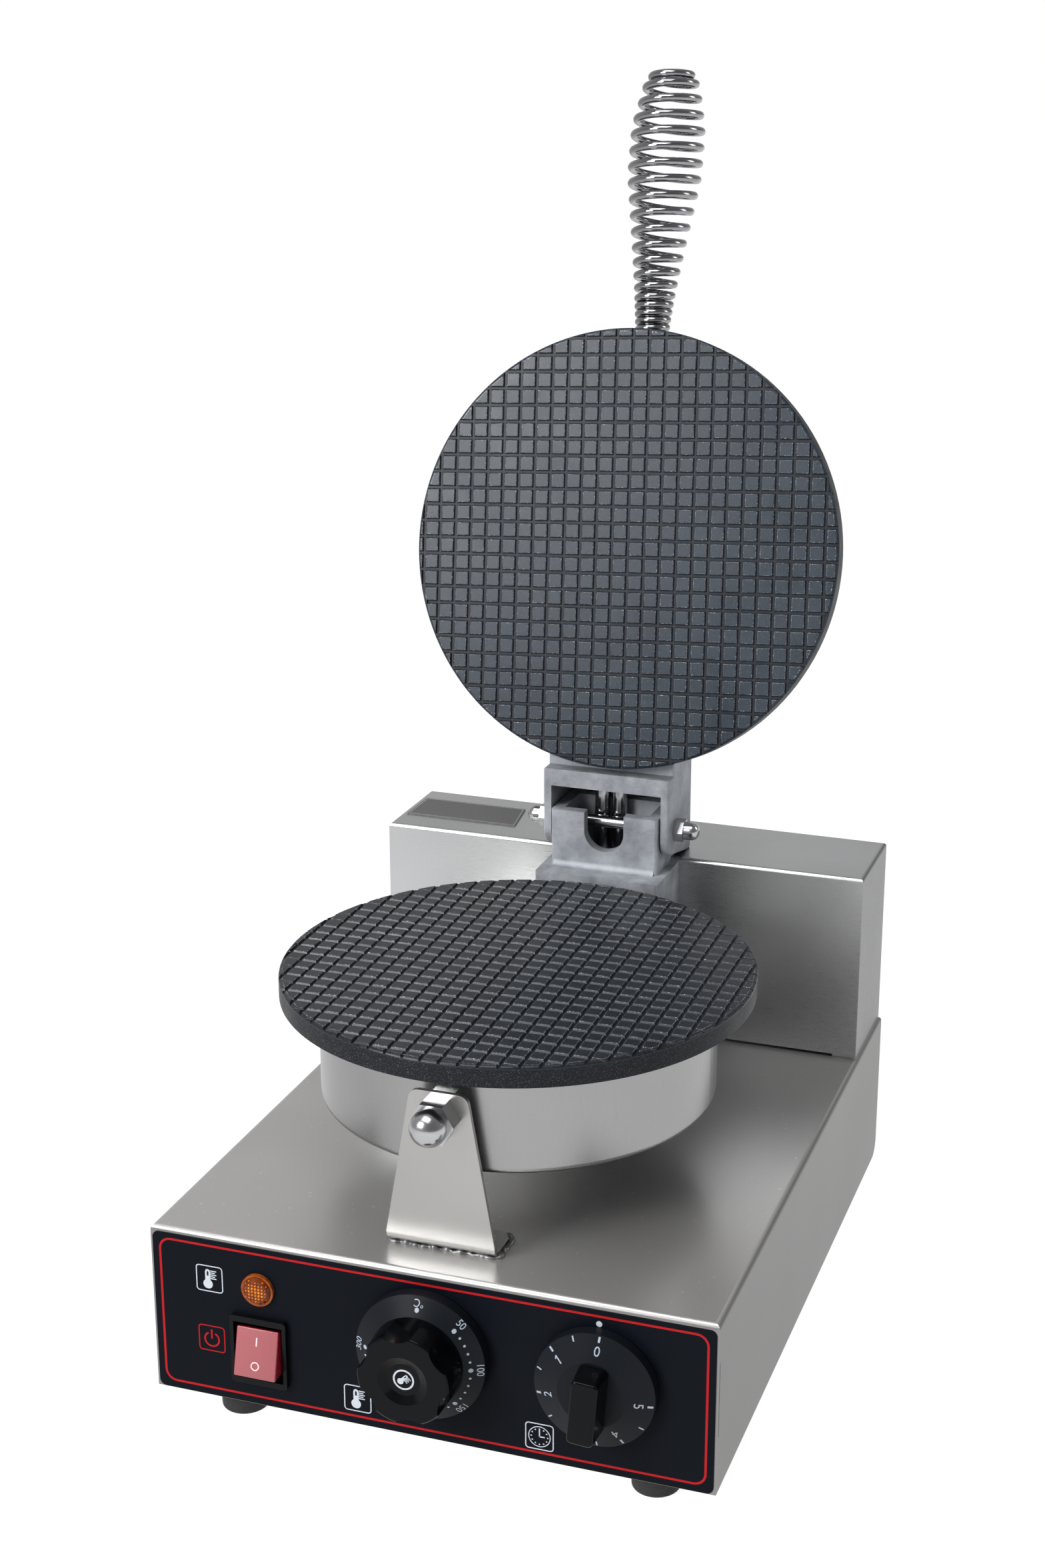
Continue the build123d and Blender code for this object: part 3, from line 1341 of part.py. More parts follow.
with BuildPart() as cable_gland:
    with BuildSketch(Plane.XZ.offset(-base_depth)):
        with Locations((gland_x, gland_z)):
            Circle(gland_radius)
    extrude(amount=gland_inside)
    with BuildSketch(Plane.XZ.offset(-base_depth)):
        with Locations((gland_x, gland_z)):
            RegularPolygon(gland_radius + 3, 6, major_radius=False)
    extrude(amount=-gland_flange)
    with BuildSketch(Plane.XZ.offset(-base_depth - gland_flange)):
        with Locations((gland_x, gland_z)):
            Circle(gland_radius)
    extrude(amount=-gland_flange)
    chamfer(cable_gland.edges().sort_by(Axis.Y)[-1], gland_chamfer)
    with BuildSketch(Plane.XZ.offset(-base_depth - 2 * gland_flange)):
        with Locations((gland_x, gland_z)):
            Circle(gland_bore)
    extrude(amount=2 * gland_flange + gland_inside, mode=Mode.SUBTRACT)

with BuildPart() as gland_nut:
    with BuildSketch(Plane.XZ.offset(-base_depth + sheet)):
        with Locations((gland_x, gland_z)):
            RegularPolygon(gland_radius + 3, 6, major_radius=False)
            Circle(gland_radius, mode=Mode.SUBTRACT)
    extrude(amount=gland_inside - sheet - 2)

with BuildPart() as thermostat_bulb:
    with BuildSketch(Plane.YZ.offset(-bulb_length / 2)):
        with Locations((plate_y + bulb_offset, plate_under - seat_gap - bulb_radius)):
            Circle(bulb_radius)
    extrude(amount=bulb_length)

# ---- naming and export -------------------------------------------------------------------------
pieces = {
    "base_shell": base_shell,
    "bottom_plate": bottom_plate,
    "bottom_screws": bottom_screws,
    "feet": feet,
    "foot_screws": foot_screws,
    "foot_nuts": foot_nuts,
    "control_film": control_film,
    "rear_housing": rear_housing,
    "housing_screws": housing_screws,
    "hinge_base": hinge_base,
    "hinge_base_screws": hinge_base_screws,
    "front_bracket": front_bracket,
    "bracket_screws": bracket_screws,
    "bracket_stud": bracket_stud,
    "bracket_inner_nut": bracket_inner_nut_piece,
    "bracket_spacer_nut": bracket_spacer_nut,
    "bracket_cap_nut": bracket_cap_nut,
    "lower_plate": lower_plate,
    "lower_pan": lower_pan,
    "lower_element": lower_element,
    "lower_reflector": lower_reflector,
    "lower_insulation": lower_insulation,
    "lower_plate_stud": lower_plate_stud,
    "lower_stud_nut": lower_stud_nut,
    "lower_leads": lower_leads,
    "thermostat_bulb": thermostat_bulb,
    "upper_plate": upper_plate,
    "upper_pan": upper_pan,
    "upper_element": upper_element,
    "upper_reflector": upper_reflector,
    "upper_insulation": upper_insulation,
    "upper_plate_stud": upper_plate_stud,
    "upper_stud_nut": upper_stud_nut,
    "hinge_fork": hinge_fork,
    "fork_screws": fork_screws,
    "hinge_pin": hinge_pin,
    "hinge_nuts": hinge_nuts,
    "hinge_cap_nuts": hinge_cap_nuts,
    "heater_leads": heater_leads,
    "handle_rod": handle_rod,
    "handle_nut": handle_nut,
    "handle_spring": handle_spring,
    "thermostat_body": thermostat_body,
    "thermostat_spindle": thermostat_spindle,
    "thermostat_knob": thermostat_knob,
    "timer_body": timer_body,
    "timer_spindle": timer_spindle,
    "timer_knob": timer_knob,
    "switch_body": switch_body,
    "switch_rocker": switch_rocker,
    "indicator_body": indicator_body,
    "indicator_lens": indicator_lens,
    "terminal_block": terminal_block,
    "cable_gland": cable_gland,
    "gland_nut": gland_nut,
}

# The origin goes under the middle of the whole footprint, lid open.
boxes = [piece.part.bounding_box() for piece in pieces.values()]
front_y = min(box.min.Y for box in boxes)
back_y = max(box.max.Y for box in boxes)
middle_y = (front_y + back_y) / 2
to_origin = Location((0, -middle_y, 0))

os.makedirs("parts", exist_ok=True)
for name, piece in pieces.items():
    piece.part.label = name
    export_step(piece.part.moved(to_origin), f"parts/{name}.step")
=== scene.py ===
import bpy, bmesh, json, math
from mathutils import Vector, Matrix, noise


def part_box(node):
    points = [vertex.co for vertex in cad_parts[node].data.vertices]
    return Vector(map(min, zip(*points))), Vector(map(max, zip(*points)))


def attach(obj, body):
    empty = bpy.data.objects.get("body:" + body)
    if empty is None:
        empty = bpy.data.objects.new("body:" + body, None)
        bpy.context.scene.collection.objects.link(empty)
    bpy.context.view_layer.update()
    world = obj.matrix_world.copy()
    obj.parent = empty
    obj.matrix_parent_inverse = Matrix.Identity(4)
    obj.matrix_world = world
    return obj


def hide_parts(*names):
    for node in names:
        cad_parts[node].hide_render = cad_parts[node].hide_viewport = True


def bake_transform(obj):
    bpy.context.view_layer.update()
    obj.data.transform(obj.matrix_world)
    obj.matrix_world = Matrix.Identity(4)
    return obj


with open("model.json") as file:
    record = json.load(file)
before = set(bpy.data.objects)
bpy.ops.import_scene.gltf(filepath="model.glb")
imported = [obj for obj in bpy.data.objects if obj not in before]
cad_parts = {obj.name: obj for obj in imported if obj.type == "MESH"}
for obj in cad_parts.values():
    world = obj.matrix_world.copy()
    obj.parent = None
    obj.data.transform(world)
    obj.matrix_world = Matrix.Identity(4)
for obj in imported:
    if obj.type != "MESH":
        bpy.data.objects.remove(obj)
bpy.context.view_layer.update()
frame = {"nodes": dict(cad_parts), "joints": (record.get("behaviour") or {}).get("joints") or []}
nodes = frame["nodes"]
scene = bpy.context.scene
scene.view_settings.view_transform = "Standard"
MM = 0.001
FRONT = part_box("base_shell")[0].y           # the front sheet
AXIS_Z = 0.057                              # height of both dials
COLUMN = 75.2                               # mm from the middle: the timer right, the lamp and rocker left
hinge = next(j for j in frame["joints"] if j["name"] == "lid_hinge")
PIN = Vector(hinge["pos_m"])
LID_OPEN = math.radians(103.4)              # how far the lid stands open from shut

# ------------------------------------------------ camera
cam_data = bpy.data.cameras.new("camera")
cam = bpy.data.objects.new("camera", cam_data)
scene.collection.objects.link(cam)
yaw, pitch, roll = 0.30096399, -0.30059716, 0.01318297
picture_width, picture_height = 1568, 2352
focal_length, sensor = 3458.975, 36.0       # in pixels, in millimetres
centre_x, centre_y = 952.3335, 1102.9064    # the pixel that the line of sight goes through
fwd = Vector((-math.sin(yaw) * math.cos(pitch), math.cos(yaw) * math.cos(pitch), math.sin(pitch)))
right = Vector((math.cos(yaw), math.sin(yaw), 0))
up = right.cross(fwd)
right, up = (math.cos(roll) * right + math.sin(roll) * up, -math.sin(roll) * right + math.cos(roll) * up)
basis = Matrix((right, up, -fwd)).transposed().to_4x4()
basis.translation = Vector((0.32562395, FRONT - 0.76992997, 0.58085524))
cam.matrix_world = basis
cam_data.lens = focal_length / picture_height * sensor
cam_data.sensor_width = sensor
cam_data.shift_x = (picture_width / 2 - centre_x) / picture_height
cam_data.shift_y = (centre_y - picture_height / 2) / picture_height
cam_data.clip_start, cam_data.clip_end = 0.01, 20
scene.camera = cam


# ------------------------------------------------ materials
def new_mat(name, color, rough=0.5, metal=0.0, **sockets):
    m = bpy.data.materials.new(name)
    m.use_nodes = True
    b = m.node_tree.nodes["Principled BSDF"]
    b.inputs["Base Color"].default_value = (*color, 1)
    b.inputs["Roughness"].default_value = rough
    b.inputs["Metallic"].default_value = metal
    for key, value in sockets.items():
        b.inputs[key.replace("_", " ")].default_value = value
    return m, m.node_tree, b


def noise_node(tree, scale, stretch=(1, 1, 1), detail=3.0, rough=0.6):
    coord = tree.nodes.new("ShaderNodeTexCoord")
    mapping = tree.nodes.new("ShaderNodeMapping")
    mapping.inputs["Scale"].default_value = stretch
    tex = tree.nodes.new("ShaderNodeTexNoise")
    tex.inputs["Scale"].default_value = scale
    tex.inputs["Detail"].default_value = detail
    tex.inputs["Roughness"].default_value = rough
    tree.links.new(coord.outputs["Object"], mapping.inputs["Vector"])
    tree.links.new(mapping.outputs["Vector"], tex.inputs["Vector"])
    return tex.outputs["Fac"]


def ramp(tree, source, low, high, color_low, color_high):
    r = tree.nodes.new("ShaderNodeValToRGB")
    r.color_ramp.elements[0].position = low
    r.color_ramp.elements[1].position = high
    r.color_ramp.elements[0].color = (*color_low, 1)
    r.color_ramp.elements[1].color = (*color_high, 1)
    tree.links.new(source, r.inputs["Fac"])
    return r.outputs["Color"]


def span(tree, source, low, high, from_low=0.3, from_high=0.7):
    r = tree.nodes.new("ShaderNodeMapRange")
    r.inputs["From Min"].default_value = from_low
    r.inputs["From Max"].default_value = from_high
    r.inputs["To Min"].default_value = low
    r.inputs["To Max"].default_value = high
    tree.links.new(source, r.inputs["Value"])
    return r.outputs["Result"]


def toward(tree, tone, color, factor):
    """A tone that turns to one colour as the factor goes from 0 to 1."""
    mix = tree.nodes.new("ShaderNodeMix")
    mix.data_type = "RGBA"
    tree.links.new(factor, mix.inputs["Factor"])
    tree.links.new(tone, mix.inputs["A"])
    mix.inputs["B"].default_value = (*color, 1)
    return mix.outputs["Result"]


def maths(tree, operation, *values):
    node = tree.nodes.new("ShaderNodeMath")
    node.operation = operation
    for socket, value in zip(node.inputs, values):
        if isinstance(value, (int, float)):
            socket.default_value = value
        else:
            tree.links.new(value, socket)
    return node.outputs[0]


def along(tree, vector, axis):
    """One axis of a vector."""
    split = tree.nodes.new("ShaderNodeSeparateXYZ")
    tree.links.new(vector, split.inputs[0])
    return split.outputs[axis]


def bump(tree, bsdf, heights, distance):
    previous = None
    for source, strength in heights:
        b = tree.nodes.new("ShaderNodeBump")
        b.inputs["Strength"].default_value = strength
        b.inputs["Distance"].default_value = distance
        tree.links.new(source, b.inputs["Height"])
        if previous:
            tree.links.new(previous, b.inputs["Normal"])
        previous = b.outputs["Normal"]
    tree.links.new(previous, bsdf.inputs["Normal"])


def steel(name, stretch, color, rough, smudge=0.06, grain=0.25, specks=0.0, side=1.0, front=1.0, metal=1.0):
    """Brushed sheet: fine lines along the brushing, soft smudges and, where asked, specks of dust and
    painted shade on the faces turned sideways or forwards.
    """
    m, t, b = new_mat(name, color, 0.3, metal)
    lines = noise_node(t, 60, stretch, detail=4, rough=0.7)
    clouds = noise_node(t, 9, detail=2, rough=0.5)
    both = maths(t, "MULTIPLY_ADD", clouds, 0.6, span(t, lines, 0, 0.4))
    t.links.new(span(t, both, rough[0], rough[1], 0.2, 0.8), b.inputs["Roughness"])
    dark = tuple(c * (1 - smudge) for c in color)
    light = tuple(min(1, c * (1 + smudge)) for c in color)
    tone = ramp(t, clouds, 0.35, 0.65, dark, light)
    if specks:
        dust = noise_node(t, 420, detail=1, rough=0.4)
        tone = toward(t, tone, (0.95, 0.95, 0.95), span(t, dust, 0, specks, 0.74, 0.77))
    for axis, shade_share in (("X", side), ("Y", front)):
        # upright faces are painted darker by which way they face: painted shade, keeping this share of the
        # colour
        if shade_share != 1:
            normal = t.nodes.new("ShaderNodeNewGeometry").outputs["Normal"]
            turned = maths(t, "ABSOLUTE", along(t, normal, axis))
            tone = toward(t, tone, tuple(c * shade_share for c in color), span(t, turned, 0, 1, 0.3, 0.9))
    t.links.new(tone, b.inputs["Base Color"])
    bump(t, b, [(lines, grain)], distance=0.00002)
    return m


# side and front set the painted shade on the deck's sides and front, and on the wall's sides
STEEL_DECK = steel("steel_deck", (1.2, 40, 40), (0.48, 0.473, 0.466), (0.29, 0.35),
                   specks=0.24, grain=0.12, side=0.22, front=0.5, metal=0.78)
STEEL_WALL = steel("steel_wall", (2, 2, 60), (0.50, 0.505, 0.51), (0.24, 0.34), smudge=0.12, side=0.18)
STEEL_PAN = steel("steel_pan", (60, 60, 1.5), (0.32, 0.32, 0.32), (0.23, 0.35), grain=0.5)
STEEL_BRACKET = steel("steel_bracket", (50, 50, 2), (0.40, 0.395, 0.385), (0.26, 0.38), grain=0.6)


def cast_aluminium():
    """Sand-cast: pale blue-grey, mottled and grainy."""
    m, t, b = new_mat("cast_aluminium", (0.52, 0.54, 0.56), 0.5, 1.0)
    grain = noise_node(t, 700, detail=4, rough=0.65)
    patches = noise_node(t, 70, detail=5, rough=0.65)
    tone = ramp(t, patches, 0.35, 0.68, (0.29, 0.305, 0.33), (0.49, 0.51, 0.54))
    t.links.new(tone, b.inputs["Base Color"])
    t.links.new(span(t, patches, 0.64, 0.80), b.inputs["Roughness"])
    bump(t, b, [(grain, 0.45), (patches, 0.4)], distance=0.00025)
    return m


def coating(name, low, high, fleck, rough, gloss=0.33):
    """Non-stick coat: a dark coat with fine light flecks in it and a slightly pebbled skin."""
    m, t, b = new_mat(name, low, rough, 0.0, Specular_IOR_Level=gloss)
    flecks = noise_node(t, 2000, detail=2, rough=0.5)
    patches = noise_node(t, 40, detail=4, rough=0.6)
    under = ramp(t, patches, 0.3, 0.72, low, high)
    t.links.new(toward(t, under, fleck, span(t, flecks, 0, 1, 0.56, 0.74)), b.inputs["Base Color"])
    t.links.new(span(t, patches, rough * 0.85, rough * 1.2), b.inputs["Roughness"])
    bump(t, b, [(flecks, 0.5), (patches, 0.15)], distance=0.00008)
    return m


def plain(name, color, rough, metal=0.0, scale=500, strength=0.2, spread=0.15, **sockets):
    m, t, b = new_mat(name, color, rough, metal, **sockets)
    fine = noise_node(t, scale, detail=3, rough=0.6)
    low = tuple(c * (1 - spread) for c in color)
    high = tuple(min(1, c * (1 + spread)) for c in color)
    t.links.new(ramp(t, fine, 0.3, 0.7, low, high), b.inputs["Base Color"])
    t.links.new(span(t, fine, rough * 0.85, min(1, rough * 1.15)), b.inputs["Roughness"])
    bump(t, b, [(fine, strength)], distance=0.00005)
    return m


CAST = cast_aluminium()
COAT = coating("plate_coating", (0.005, 0.007, 0.011), (0.010, 0.013, 0.018), (0.045, 0.052, 0.060),
               0.33, gloss=0.31)
LID_COAT = coating("lid_plate_coating", (0.008, 0.015, 0.025), (0.015, 0.024, 0.036), (0.045, 0.060, 0.075),
                   0.33, gloss=0.30)
# the rounded pad edges: a lighter coat with bright flecks, a painted highlight along each edge
EDGE_HIGHLIGHT = coating("plate_edge_highlight", (0.012, 0.015, 0.020), (0.06, 0.065, 0.07), (0.55, 0.57, 0.60), 0.30)
# groove floors: a darker, less glossy coat, painted shade in the recesses between the pads
GROOVE_SHADE = coating("plate_groove_shade", (0.004, 0.006, 0.010), (0.009, 0.013, 0.019), (0.03, 0.04, 0.05),
                 0.38, gloss=0.19)
RIM_COAT = coating("plate_rims", (0.005, 0.006, 0.008), (0.010, 0.011, 0.014), (0.07, 0.075, 0.08),
                   0.42, gloss=0.15)
FILM = plain("film", (0.0033, 0.0045, 0.0074), 0.42, scale=2500, strength=0.25, Specular_IOR_Level=0.05)
CHROME = plain("chrome", (0.46, 0.46, 0.47), 0.20, 1.0, scale=120, strength=0.02, spread=0.03)
WIRE = plain("chrome_wire", (0.30, 0.30, 0.31), 0.10, 1.0, scale=200, strength=0.03, spread=0.06)
ZINC = plain("zinc", (0.55, 0.54, 0.52), 0.28, 1.0, scale=400, strength=0.1)
BLACK = plain("black_plastic", (0.0022, 0.0026, 0.0034), 0.24, scale=1800, strength=0.06,
              Specular_IOR_Level=0.13)


SKIRT_END = FRONT - 0.0104                  # where a knob's skirt ends and its grip begins
SKIRT_EDGE = 0.0004
GRIP_BLACK, SKIRT_GREY = (0.0016, 0.0019, 0.0025), (0.0050, 0.0064, 0.0092)


def knob_plastic():
    """Glossy black grip in front of a satin, lighter skirt; the two meet where the skirt's cone ends."""
    m, t, b = new_mat("knob_plastic", GRIP_BLACK, 0.2)
    depth = along(t, t.nodes.new("ShaderNodeTexCoord").outputs["Object"], "Y")

    def by_depth(grip, skirt):
        return span(t, depth, grip, skirt, SKIRT_END, SKIRT_END + SKIRT_EDGE)

    fine = noise_node(t, 1800, detail=3, rough=0.6)
    t.links.new(ramp(t, by_depth(0, 1), 0, 1, GRIP_BLACK, SKIRT_GREY), b.inputs["Base Color"])
    t.links.new(by_depth(0.16, 0.38), b.inputs["Roughness"])
    t.links.new(by_depth(0.12, 0.11), b.inputs["Specular IOR Level"])
    bump(t, b, [(fine, 0.05)], distance=0.00005)
    return m


KNOB = knob_plastic()
RUBBER = plain("rubber", (0.012, 0.012, 0.012), 0.75, scale=900, strength=0.5)
RED = plain("rocker_red", (0.20, 0.006, 0.014), 0.25, scale=700, strength=0.03, spread=0.05)
PINK = plain("rocker_face", (0.30, 0.078, 0.088), 0.36, scale=1500, strength=0.08, spread=0.05)
RED_LINE = plain("red_print", (0.36, 0.008, 0.011), 0.4, scale=900, strength=0.05, spread=0.04,
                 Specular_IOR_Level=0.1)
WHITE_PRINT = plain("white_print", (0.46, 0.50, 0.55), 0.45, scale=900, strength=0.05, spread=0.04)
DIAL_PRINT = plain("dial_print", (0.30, 0.35, 0.41), 0.45, scale=900, strength=0.05, spread=0.04)
ROCKER_PRINT = plain("rocker_print", (0.80, 0.52, 0.54), 0.45, scale=900, strength=0.05, spread=0.04)
WOOL = plain("wool", (0.70, 0.67, 0.58), 0.9, scale=900, strength=0.8)
NYLON = plain("nylon", (0.75, 0.74, 0.70), 0.5)
BRASS = plain("brass", (0.60, 0.43, 0.18), 0.3, 1.0)
HEATER = plain("heater_tube", (0.22, 0.22, 0.21), 0.45, 1.0)
BADGE = plain("badge_grey", (0.070, 0.070, 0.073), 0.42, scale=700, strength=0.08)
BADGE_EDGE = plain("badge_edge", (0.28, 0.28, 0.28), 0.42, scale=700, strength=0.08)
SLEEVE = plain("lead_sleeve", (0.42, 0.43, 0.44), 0.16, 1.0, scale=260, strength=0.05)
SEALANT = plain("sealant", (0.16, 0.16, 0.165), 0.34, 0.6, scale=260, strength=0.5, spread=0.3)

by_material = (
    (STEEL_DECK, "base_shell bottom_plate"),
    (STEEL_WALL, "rear_housing"),
    (STEEL_BRACKET, "front_bracket"),
    (STEEL_PAN, "lower_pan upper_pan lower_reflector upper_reflector"),
    (FILM, "control_film"),
    (RUBBER, "feet"),
    (CAST, "hinge_base hinge_fork"),
    (COAT, "lower_plate"),
    (LID_COAT, "upper_plate"),
    (HEATER, "lower_element upper_element"),
    (WOOL, "lower_insulation upper_insulation"),
    (CHROME, "bracket_cap_nut bracket_spacer_nut hinge_cap_nuts hinge_nuts hinge_pin"),
    (WIRE, "handle_spring"),
    (KNOB, "thermostat_knob timer_knob"),
    (BLACK, "switch_body indicator_body cable_gland gland_nut"),
    (RED, "switch_rocker"),
    (NYLON, "thermostat_body timer_body terminal_block"),
    (BRASS, "thermostat_bulb"),
)
node_mats = {name: material for material, names in by_material for name in names.split()}
for name, obj in nodes.items():
    material = node_mats.get(name, ZINC)
    if not obj.material_slots:
        obj.data.materials.append(material)
    for s in obj.material_slots:
        s.material = material


# ------------------------------------------------ mesh helpers
class Bag:
    """Collects meshes that become one object."""

    def __init__(self):
        self.verts, self.faces, self.smooth = [], [], []

    def add(self, verts, faces, smooth=False):
        base = len(self.verts)
        self.verts += [tuple(v) for v in verts]
        self.faces += [tuple(base + i for i in f) for f in faces]
        self.smooth += [smooth] * len(faces)

    def build(self, name, material):
        mesh = bpy.data.meshes.new(name)
        mesh.from_pydata(self.verts, [], self.faces)
        mesh.polygons.foreach_set("use_smooth", self.smooth)
        mesh.update()
        obj = bpy.data.objects.new(name, mesh)
        mesh.materials.append(material)
        scene.collection.objects.link(obj)
        return obj

    def make(self, name, material, body, slot, replaces=()):
        obj = self.build(name, material)
        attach(obj, body)
        if replaces:
            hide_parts(*replaces)


def filled(loops, thick, text=None, size=1.0):
    """A thin flat mesh, in mm in its own plane, from closed loops (holes by even-odd) or from a word."""
    if text is None:
        data = bpy.data.curves.new("tmp", "CURVE")
        data.dimensions = "2D"
        data.fill_mode = "BOTH"
        for loop in loops:
            spline = data.splines.new("POLY")
            spline.points.add(len(loop) - 1)
            for point, (x, y) in zip(spline.points, loop):
                point.co = (x, y, 0, 1)
            spline.use_cyclic_u = True
    else:
        data = bpy.data.curves.new("tmp", "FONT")
        data.body = text
        data.size = size
        data.align_x = "CENTER"
        data.align_y = "CENTER"
        data.resolution_u = 6
    data.extrude = thick / 2
    obj = bpy.data.objects.new("tmp", data)
    scene.collection.objects.link(obj)
    bpy.context.view_layer.update()
    mesh = bpy.data.meshes.new_from_object(obj.evaluated_get(bpy.context.evaluated_depsgraph_get()))
    verts = [v.co.copy() for v in mesh.vertices]
    faces = [tuple(p.vertices) for p in mesh.polygons]
    bpy.data.objects.remove(obj)
    bpy.data.meshes.remove(mesh)
    return verts, faces


def circle(cx, cy, r, n=28, start=0.0, end=360.0):
    return [(cx + r * math.cos(math.radians(start + (end - start) * i / n)),
             cy + r * math.sin(math.radians(start + (end - start) * i / n))) for i in range(n)]


def rounded(cx, cy, w, h, r, n=6):
    pts = []
    for sx, sy, a in ((1, 1, 0), (-1, 1, 90), (-1, -1, 180), (1, -1, 270)):
        for i in range(n + 1):
            t = math.radians(a + 90 * i / n)
            pts.append((cx + sx * (w / 2 - r) + r * math.cos(t), cy + sy * (h / 2 - r) + r * math.sin(t)))
    return pts


def arc_band(cx, cy, r, w, start, end, n=24):
    outer = [(cx + (r + w / 2) * math.cos(math.radians(a)), cy + (r + w / 2) * math.sin(math.radians(a)))
             for a in [start + (end - start) * i / n for i in range(n + 1)]]
    inner = [(cx + (r - w / 2) * math.cos(math.radians(a)), cy + (r - w / 2) * math.sin(math.radians(a)))
             for a in [end - (end - start) * i / n for i in range(n + 1)]]
    return outer + inner


def bar(x0, y0, x1, y1, w):
    dx, dy = x1 - x0, y1 - y0
    length = math.hypot(dx, dy)
    nx, ny = -dy / length * w / 2, dx / length * w / 2
    return [(x0 + nx, y0 + ny), (x0 - nx, y0 - ny), (x1 - nx, y1 - ny), (x1 + nx, y1 + ny)]


def moved(points, cx, cy, turn=0.0, scale=1.0):
    c, s = math.cos(math.radians(turn)), math.sin(math.radians(turn))
    return [(cx + scale * (x * c - y * s), cy + scale * (x * s + y * c)) for x, y in points]


PANEL_Y = FRONT - 0.0004                    # the film's face
CLEAR = 0.03                                # between the film and the middle of the print


def on_panel(verts):
    """Panel millimetres (x across, y height above the table) to the frame, thickness outwards."""
    return [(v.x * MM, PANEL_Y - (v.z + CLEAR) * MM, v.y * MM) for v in verts]


def thermometer(cx, cy, turn=0.0, scale=1.0):
    """Loops of a thermometer: (stem with its hollow top), then the bulb and the scale's comb."""
    stem = [(-1.95, -1.0), (-1.95, 3.1), (-1.6, 4.1), (-0.75, 4.5), (0.1, 4.1), (0.45, 3.1), (0.45, -1.0)]
    hollow = [(-1.15, 1.3), (-1.15, 3.1), (-0.75, 3.75), (-0.35, 3.1), (-0.35, 1.3)]
    ticks = [[(0.45, z), (reach, z), (reach, z - 0.45), (0.45, z - 0.45)]
             for z, reach in ((4.0, 3.3), (3.1, 2.6), (2.2, 3.3), (1.3, 2.6), (0.4, 3.3))]
    bulb = circle(-0.75, -2.55, 2.2)
    return [[moved(p, cx, cy, turn, scale) for p in (stem, hollow)]] + \
        [[moved(p, cx, cy, turn, scale)] for p in ticks + [bulb]]


INK = 0.04                                  # how thick print is, and how much thicker each part of an icon
INK_STEP = 0.004
white, red = Bag(), Bag()


def print_on_panel(bag, loops, layer=0):
    verts, faces = filled(loops, INK + INK_STEP * layer)
    bag.add(on_panel(verts), faces)


# the red border, 1 mm wide, and the power sign in its frame
border_middle, border_width, border_height = 53.15, 241.2, 68.3
print_on_panel(red, [rounded(0, border_middle, border_width + 1, border_height + 1, 5.5),
                     rounded(0, border_middle, border_width - 1, border_height - 1, 4.5)])
power_x = -98
print_on_panel(red, [rounded(power_x, 43, 12.4, 12.4, 1.6), rounded(power_x, 43, 11.4, 11.4, 1.1)])
print_on_panel(red, [arc_band(power_x, 42.6, 3.3, 0.75, 118, 422)])
print_on_panel(red, [bar(power_x, 42.9, power_x, 47.3, 0.75)])
# white icons in their frames: two thermometers and a clock, and the timer's zero point
lamp_icon, thermostat_icon, clock_icon = (-97.9, 71.7), (-31, 27.5), (49.9, 26.5)
for cx, cz in (lamp_icon, thermostat_icon, clock_icon):
    print_on_panel(white, [rounded(cx, cz, 12.4, 12.4, 1.6), rounded(cx, cz, 11.5, 11.5, 1.15)])
for cx, cz in (lamp_icon, thermostat_icon):
    for i, loops in enumerate(thermometer(cx, cz)):
        print_on_panel(white, loops, i)
cx, cz = clock_icon
print_on_panel(white, [circle(cx, cz, 4.85, 40), circle(cx, cz, 4.5, 40)])
for hour in range(12):
    a = math.radians(30 * hour)
    print_on_panel(white, [circle(cx + 3.6 * math.cos(a), cz + 3.6 * math.sin(a), 0.32, 10)])
print_on_panel(white, [bar(cx, cz - 0.2, cx, cz + 3.2, 0.5)])
print_on_panel(white, [bar(cx - 0.2, cz, cx + 2.3, cz, 0.5)])
print_on_panel(white, [circle(COLUMN, 83.9, 1.3)])
white.make("panel_print_white", WHITE_PRINT, "stand", "film")
red.make("panel_print_red", RED_LINE, "stand", "film")


# ------------------------------------------------ dial marks, laid on the skirts' cones
def on_cone(verts, cx, r_out, r_in):
    """Dial millimetres about its centre to the cone that stands out 6 at r_out and 10 at r_in."""
    result = []
    for v in verts:
        r = math.hypot(v.x, v.y)
        rise = 6 + 4 * min(max((r_out - r) / (r_out - r_in), 0), 1)
        result.append(((cx + v.x) * MM, FRONT - (rise + INK + v.z) * MM, AXIS_Z + v.y * MM))
    return result


# a figure 1 with its flag, which the plain font's own lacks
ONE = [(0.28, -1.9), (0.28, 1.9), (-0.2, 1.9), (-1.2, 1.05), (-0.85, 0.65), (-0.28, 1.15), (-0.28, -1.9)]


def dial_text(word, r, angle, size, inward=False, loops=None):
    v, f = filled(loops, INK) if loops else filled(None, INK, word, size)
    turn = math.radians(angle - 90 + (180 if inward else 0))
    c, s = math.cos(turn), math.sin(turn)
    cx, cy = r * math.cos(math.radians(angle)), r * math.sin(math.radians(angle))
    return [Vector((cx + p.x * c - p.y * s, cy + p.x * s + p.y * c, p.z)) for p in v], f


